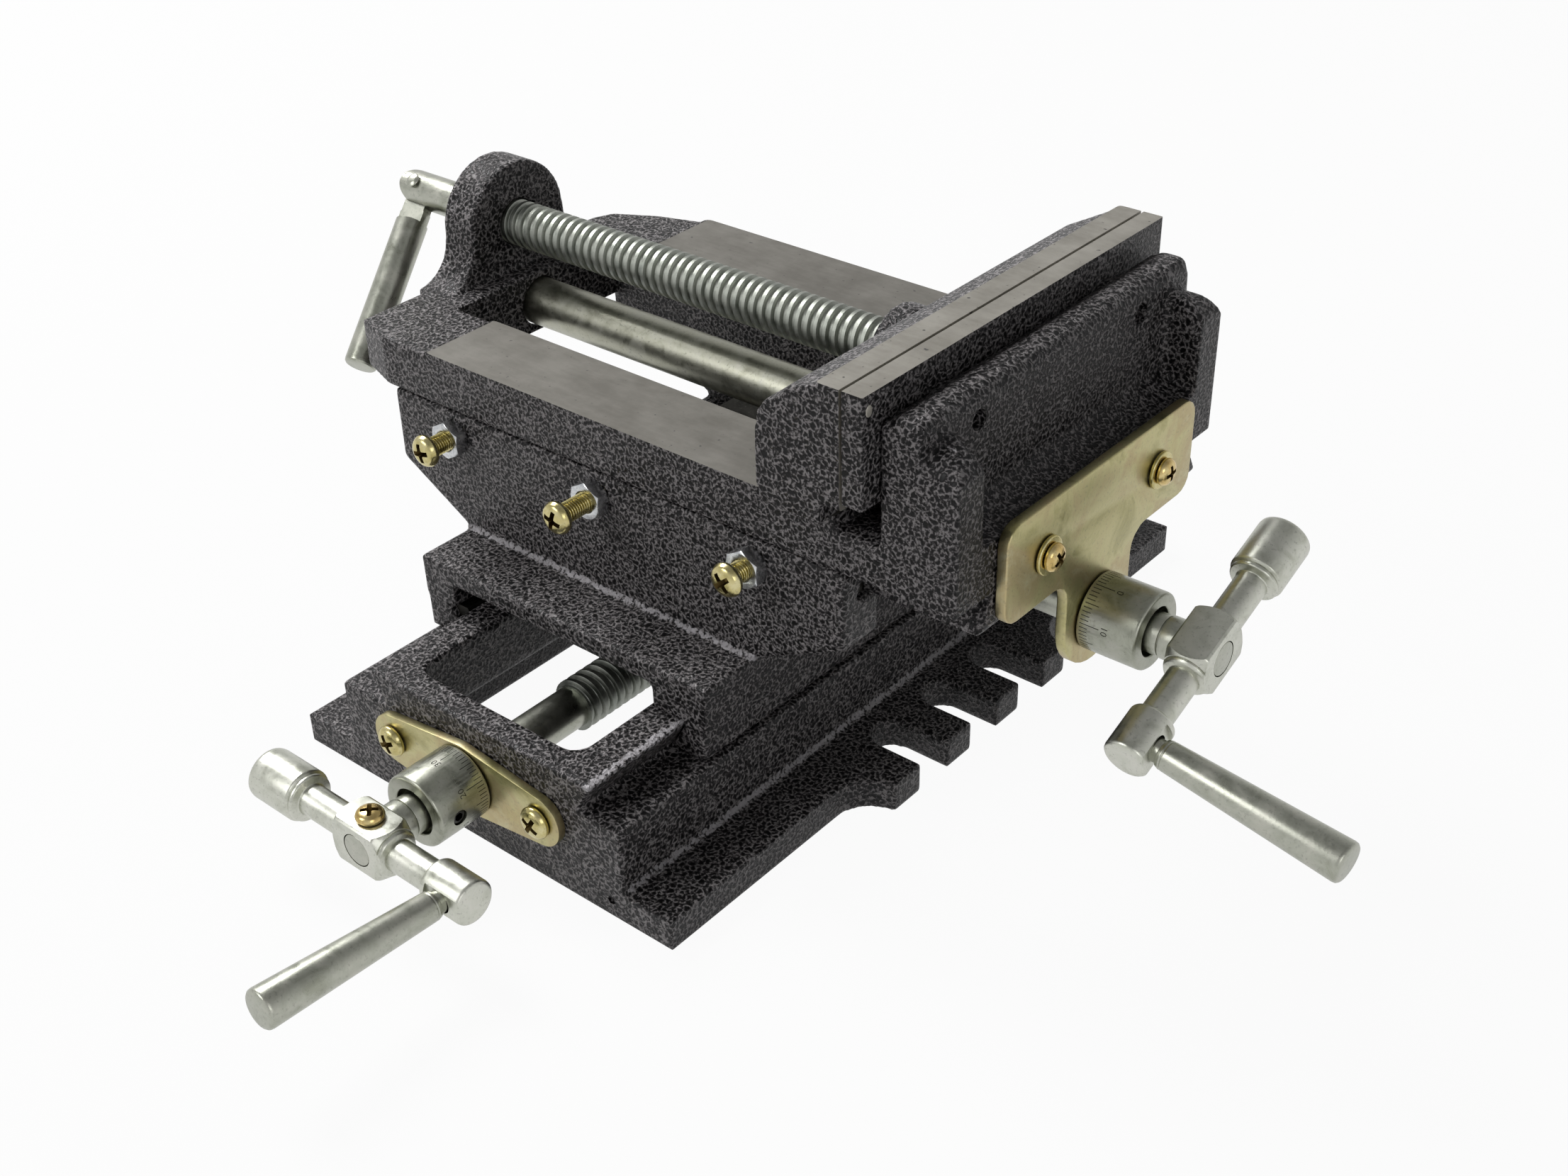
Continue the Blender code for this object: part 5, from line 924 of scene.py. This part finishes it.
def crank_arm(name):
    """The arm along +Z: counterweight, square-sided hub and knuckle, with its outer side to +X."""
    arm = turned(name, eased([
        (-40.5, CENTRE), (-40.5, 7.1, 1.5), (-25.6, 7.1, 0.35), (-25.2, 6.5, 0.15),
        (-25.0, 6.15, 0.1), (-24.8, 6.5, 0.15), (-23.9, 6.4, 0.4), (-23.5, 4.25, 0.3),
        (22.3, 4.25, 0.3), (22.9, 5.6, 0.4), (23.6, 6.0, 0.5), (36, 6.0, 1.1),
        (36, CENTRE)], 0.3), 64)
    hub = turned("hub", eased([
        (-9.0, CENTRE), (-9.0, 4.9, 0.2), (-8.5, 6.6, 0.3), (-7.2, 8.35, 0.5), (6.3, 8.35, 0.5),
        (7.7, 6.8, 0.3), (8.0, 6.5, 0.1), (8.05, 6.1, 0.05), (8.35, 6.1, 0.05), (8.4, 6.3, 0.1),
        (9.1, 5.8, 0.3), (9.5, 4.6, 0.2), (9.5, CENTRE)], 0.2), 96)
    half = HUB_WIDTH / 2
    join(hub, block(mm(-half, -6.75, -12), mm(half, 6.75, 12)), "INTERSECT")
    soften_edges(hub, 0.3 * MM, 2, 28)
    join(arm, hub, "UNION")
    join(arm, block(mm(4.9, -9, 24.6), mm(9, 9, 40)), "DIFFERENCE")
    join(arm, drill(mm(-10, 0, 0), (1, 0, 0), 20 * MM, 4.62 * MM, 64), "DIFFERENCE")
    join(arm, drill(mm(2, 0, GRIP_REACH), (1, 0, 0), 10 * MM, 3.08 * MM, 32), "DIFFERENCE")
    return arm


def socket_screw(name, radius, length):
    """A headless screw with a hexagon socket in its top, at z = 0, running down."""
    screw = turned(name, eased([(-length, CENTRE), (-length, radius - 0.4), (0, radius, 0.4),
                                (0, CENTRE)], 0.3), 32)
    socket = drill((0, 0, 0.5 * MM), (0, 0, -1), (0.5 + 0.7 * length) * MM, 0.62 * radius * MM, 6)
    join(screw, socket, "DIFFERENCE")
    return screw


def tint(node, material):
    """Gives a material to a CAD piece that stays as it is."""
    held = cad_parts[node].data.materials
    held.clear()
    held.append(material)


one_dial = dial("dial")
one_arm = crank_arm("arm")
handle = turned("handle", eased([
    (3.0, CENTRE), (3.0, 3.0), (6.4, 3.0, 0.1), (6.5, 3.5, 0.2), (7.6, 3.85, 0.3),
    (7.9, 3.72, 0.1), (8.2, 3.85, 0.1), (55.9, 5.25, 1.3), (55.9, CENTRE)], 0.3), 64)
clamp_screw = pan_screw("clamp_screw", 3.8, 2.5, 1.8, 2.4, 0.7, GOLDEN)
# Turns of the Y dial's set screw and of both handles off their cranks' axes
SET_TURN = radians(-4)
HANDLE_TILT = radians(-3.6)
X_CRANK, Y_CRANK = radians(20), radians(1.5)
# name, axis, outward, plate's face, thread's end and start, shoulder, crank's way, handle's lean
DRIVES = (("x", Vector((0, SCREW_AXIS.y, 62)), X_OUT, 115.3, -70, 84, 111.7,
           Vector((0, -cos(X_CRANK), -sin(X_CRANK))), 6.0),
          ("y", Vector((0, 0, 21.2)), Y_OUT, 118.7, -100, 80, 115.7,
           Vector((cos(Y_CRANK), 0, -sin(Y_CRANK))), -1.9))
for name, axis, out, face, tip, neck, shoulder, along, lean in DRIVES:
    up = along.cross(out)
    body_name = f"{name}_drive"
    dial_start = face + DIAL_GAP
    dial_end = dial_start + DIAL_LENGTH
    hub_start = dial_end + HUB_GAP
    hub_end = hub_start + HUB_WIDTH

    ridge = threaded(tip, neck - 0.5, LEAD_CREST, LEAD_ROOT, LEAD, 36)
    plain = turned("plain", eased([
        (neck - 0.8, CENTRE), (neck - 0.8, 5.8), (shoulder, 5.8), (shoulder, 4.55),
        (dial_start + 11.6, 4.55), (dial_start + 11.6, 5.35), (dial_end + 2.9, 5.35, 0.1),
        (dial_end + 3.0, 5.0, 0.05), (dial_end + 3.2, 5.0, 0.05), (dial_end + 3.3, 5.6, 0.5),
        (hub_start - 0.2, 5.6, 0.3), (hub_start - 0.1, 4.4), (hub_end, 4.4, 0.25),
        (hub_end, CENTRE)], 0.2), 64)
    ridge.data.materials.append(THREAD_ZINC)
    plain.data.materials.append(ZINC)
    for turning in (ridge, plain):
        seat(turning, axis, out)
    fit(merge(f"{name}_lead_screw_turned", plain, ridge), ZINC, body_name, "zinc_steel",
        f"{name}_lead_screw")

    ring = seat(copy_of(one_dial, f"{name}_dial_engraved"), axis + out * dial_start, out, up)
    if name == "y":
        set_way = Vector((cos(SET_TURN), 0, sin(SET_TURN)))
        set_place = axis + out * (dial_start + SET_SCREW_START)
        set_hole = drill((set_place + set_way * 6) * MM, set_way, 10 * MM, 2.15 * MM, 32)
        join(ring, set_hole, "DIFFERENCE")
        screw = socket_screw("y_dial_socket_screw", 2.05, 3.6)
        seat(screw, set_place + set_way * 9.6, set_way)
        fit(screw, BLACKENED, body_name, "bright_steel")
    fit(ring, DIAL_ZINC, body_name, "zinc_steel", f"{name}_dial")
    tint(f"{name}_dial_set_screw", BLACKENED)

    middle = axis + out * (hub_start + HUB_WIDTH / 2)
    arm = seat(copy_of(one_arm, f"{name}_crank_arm_turned"), middle, along, out)
    fit(arm, ARM_ZINC, body_name, "zinc_steel", f"{name}_crank_arm")
    screw = seat(copy_of(clamp_screw, f"{name}_crank_clamp_turned"), middle - up * CLAMP_REACH,
                 -up, along + out * (0.9 if name == "y" else 0.2))
    fit(screw, BRASSY, body_name, "yellow_zinc_screws", f"{name}_crank_clamp_screw")
    way = (out + along * tan(radians(lean)) + up * tan(HANDLE_TILT)).normalized()
    grip = seat(copy_of(handle, f"{name}_crank_handle_turned"), middle + along * GRIP_REACH, way)
    fit(grip, ZINC, body_name, "zinc_steel", f"{name}_crank_handle")
for pattern in (one_dial, one_arm, handle, clamp_screw):
    bpy.data.objects.remove(pattern)


# Hidden pieces: gib strips and lead nuts inside the slides, the pin that holds the jaw screw,
# and the two socket screws at the bottom of the holes behind the fixed jaw.
for k, y in enumerate(PLATE_SCREW_ROWS):
    screw = socket_screw(f"jaw_plate_screw_turned_{k + 1}", 2.1, 12.1)
    seat(screw, (98.8, y, PLATE_SCREW_Z), (1, 0, 0))
    fit(screw, BLACKENED, "body", "zinc_steel", f"jaw_plate_screw_{k + 1}")
# Oily steel coloured near black: painted shade for the dark inside the slides, where a gib's end
# shows
OILY_AND_SHADED = plated("oily_steel_painted_shade", ((0.02, 0.02, 0.018), (0.05, 0.048, 0.042)), 0.45, 200)
for node in ("x_gib", "y_gib", "x_lead_nut", "y_lead_nut", "jaw_screw_retainer"):
    tint(node, OILY_AND_SHADED)
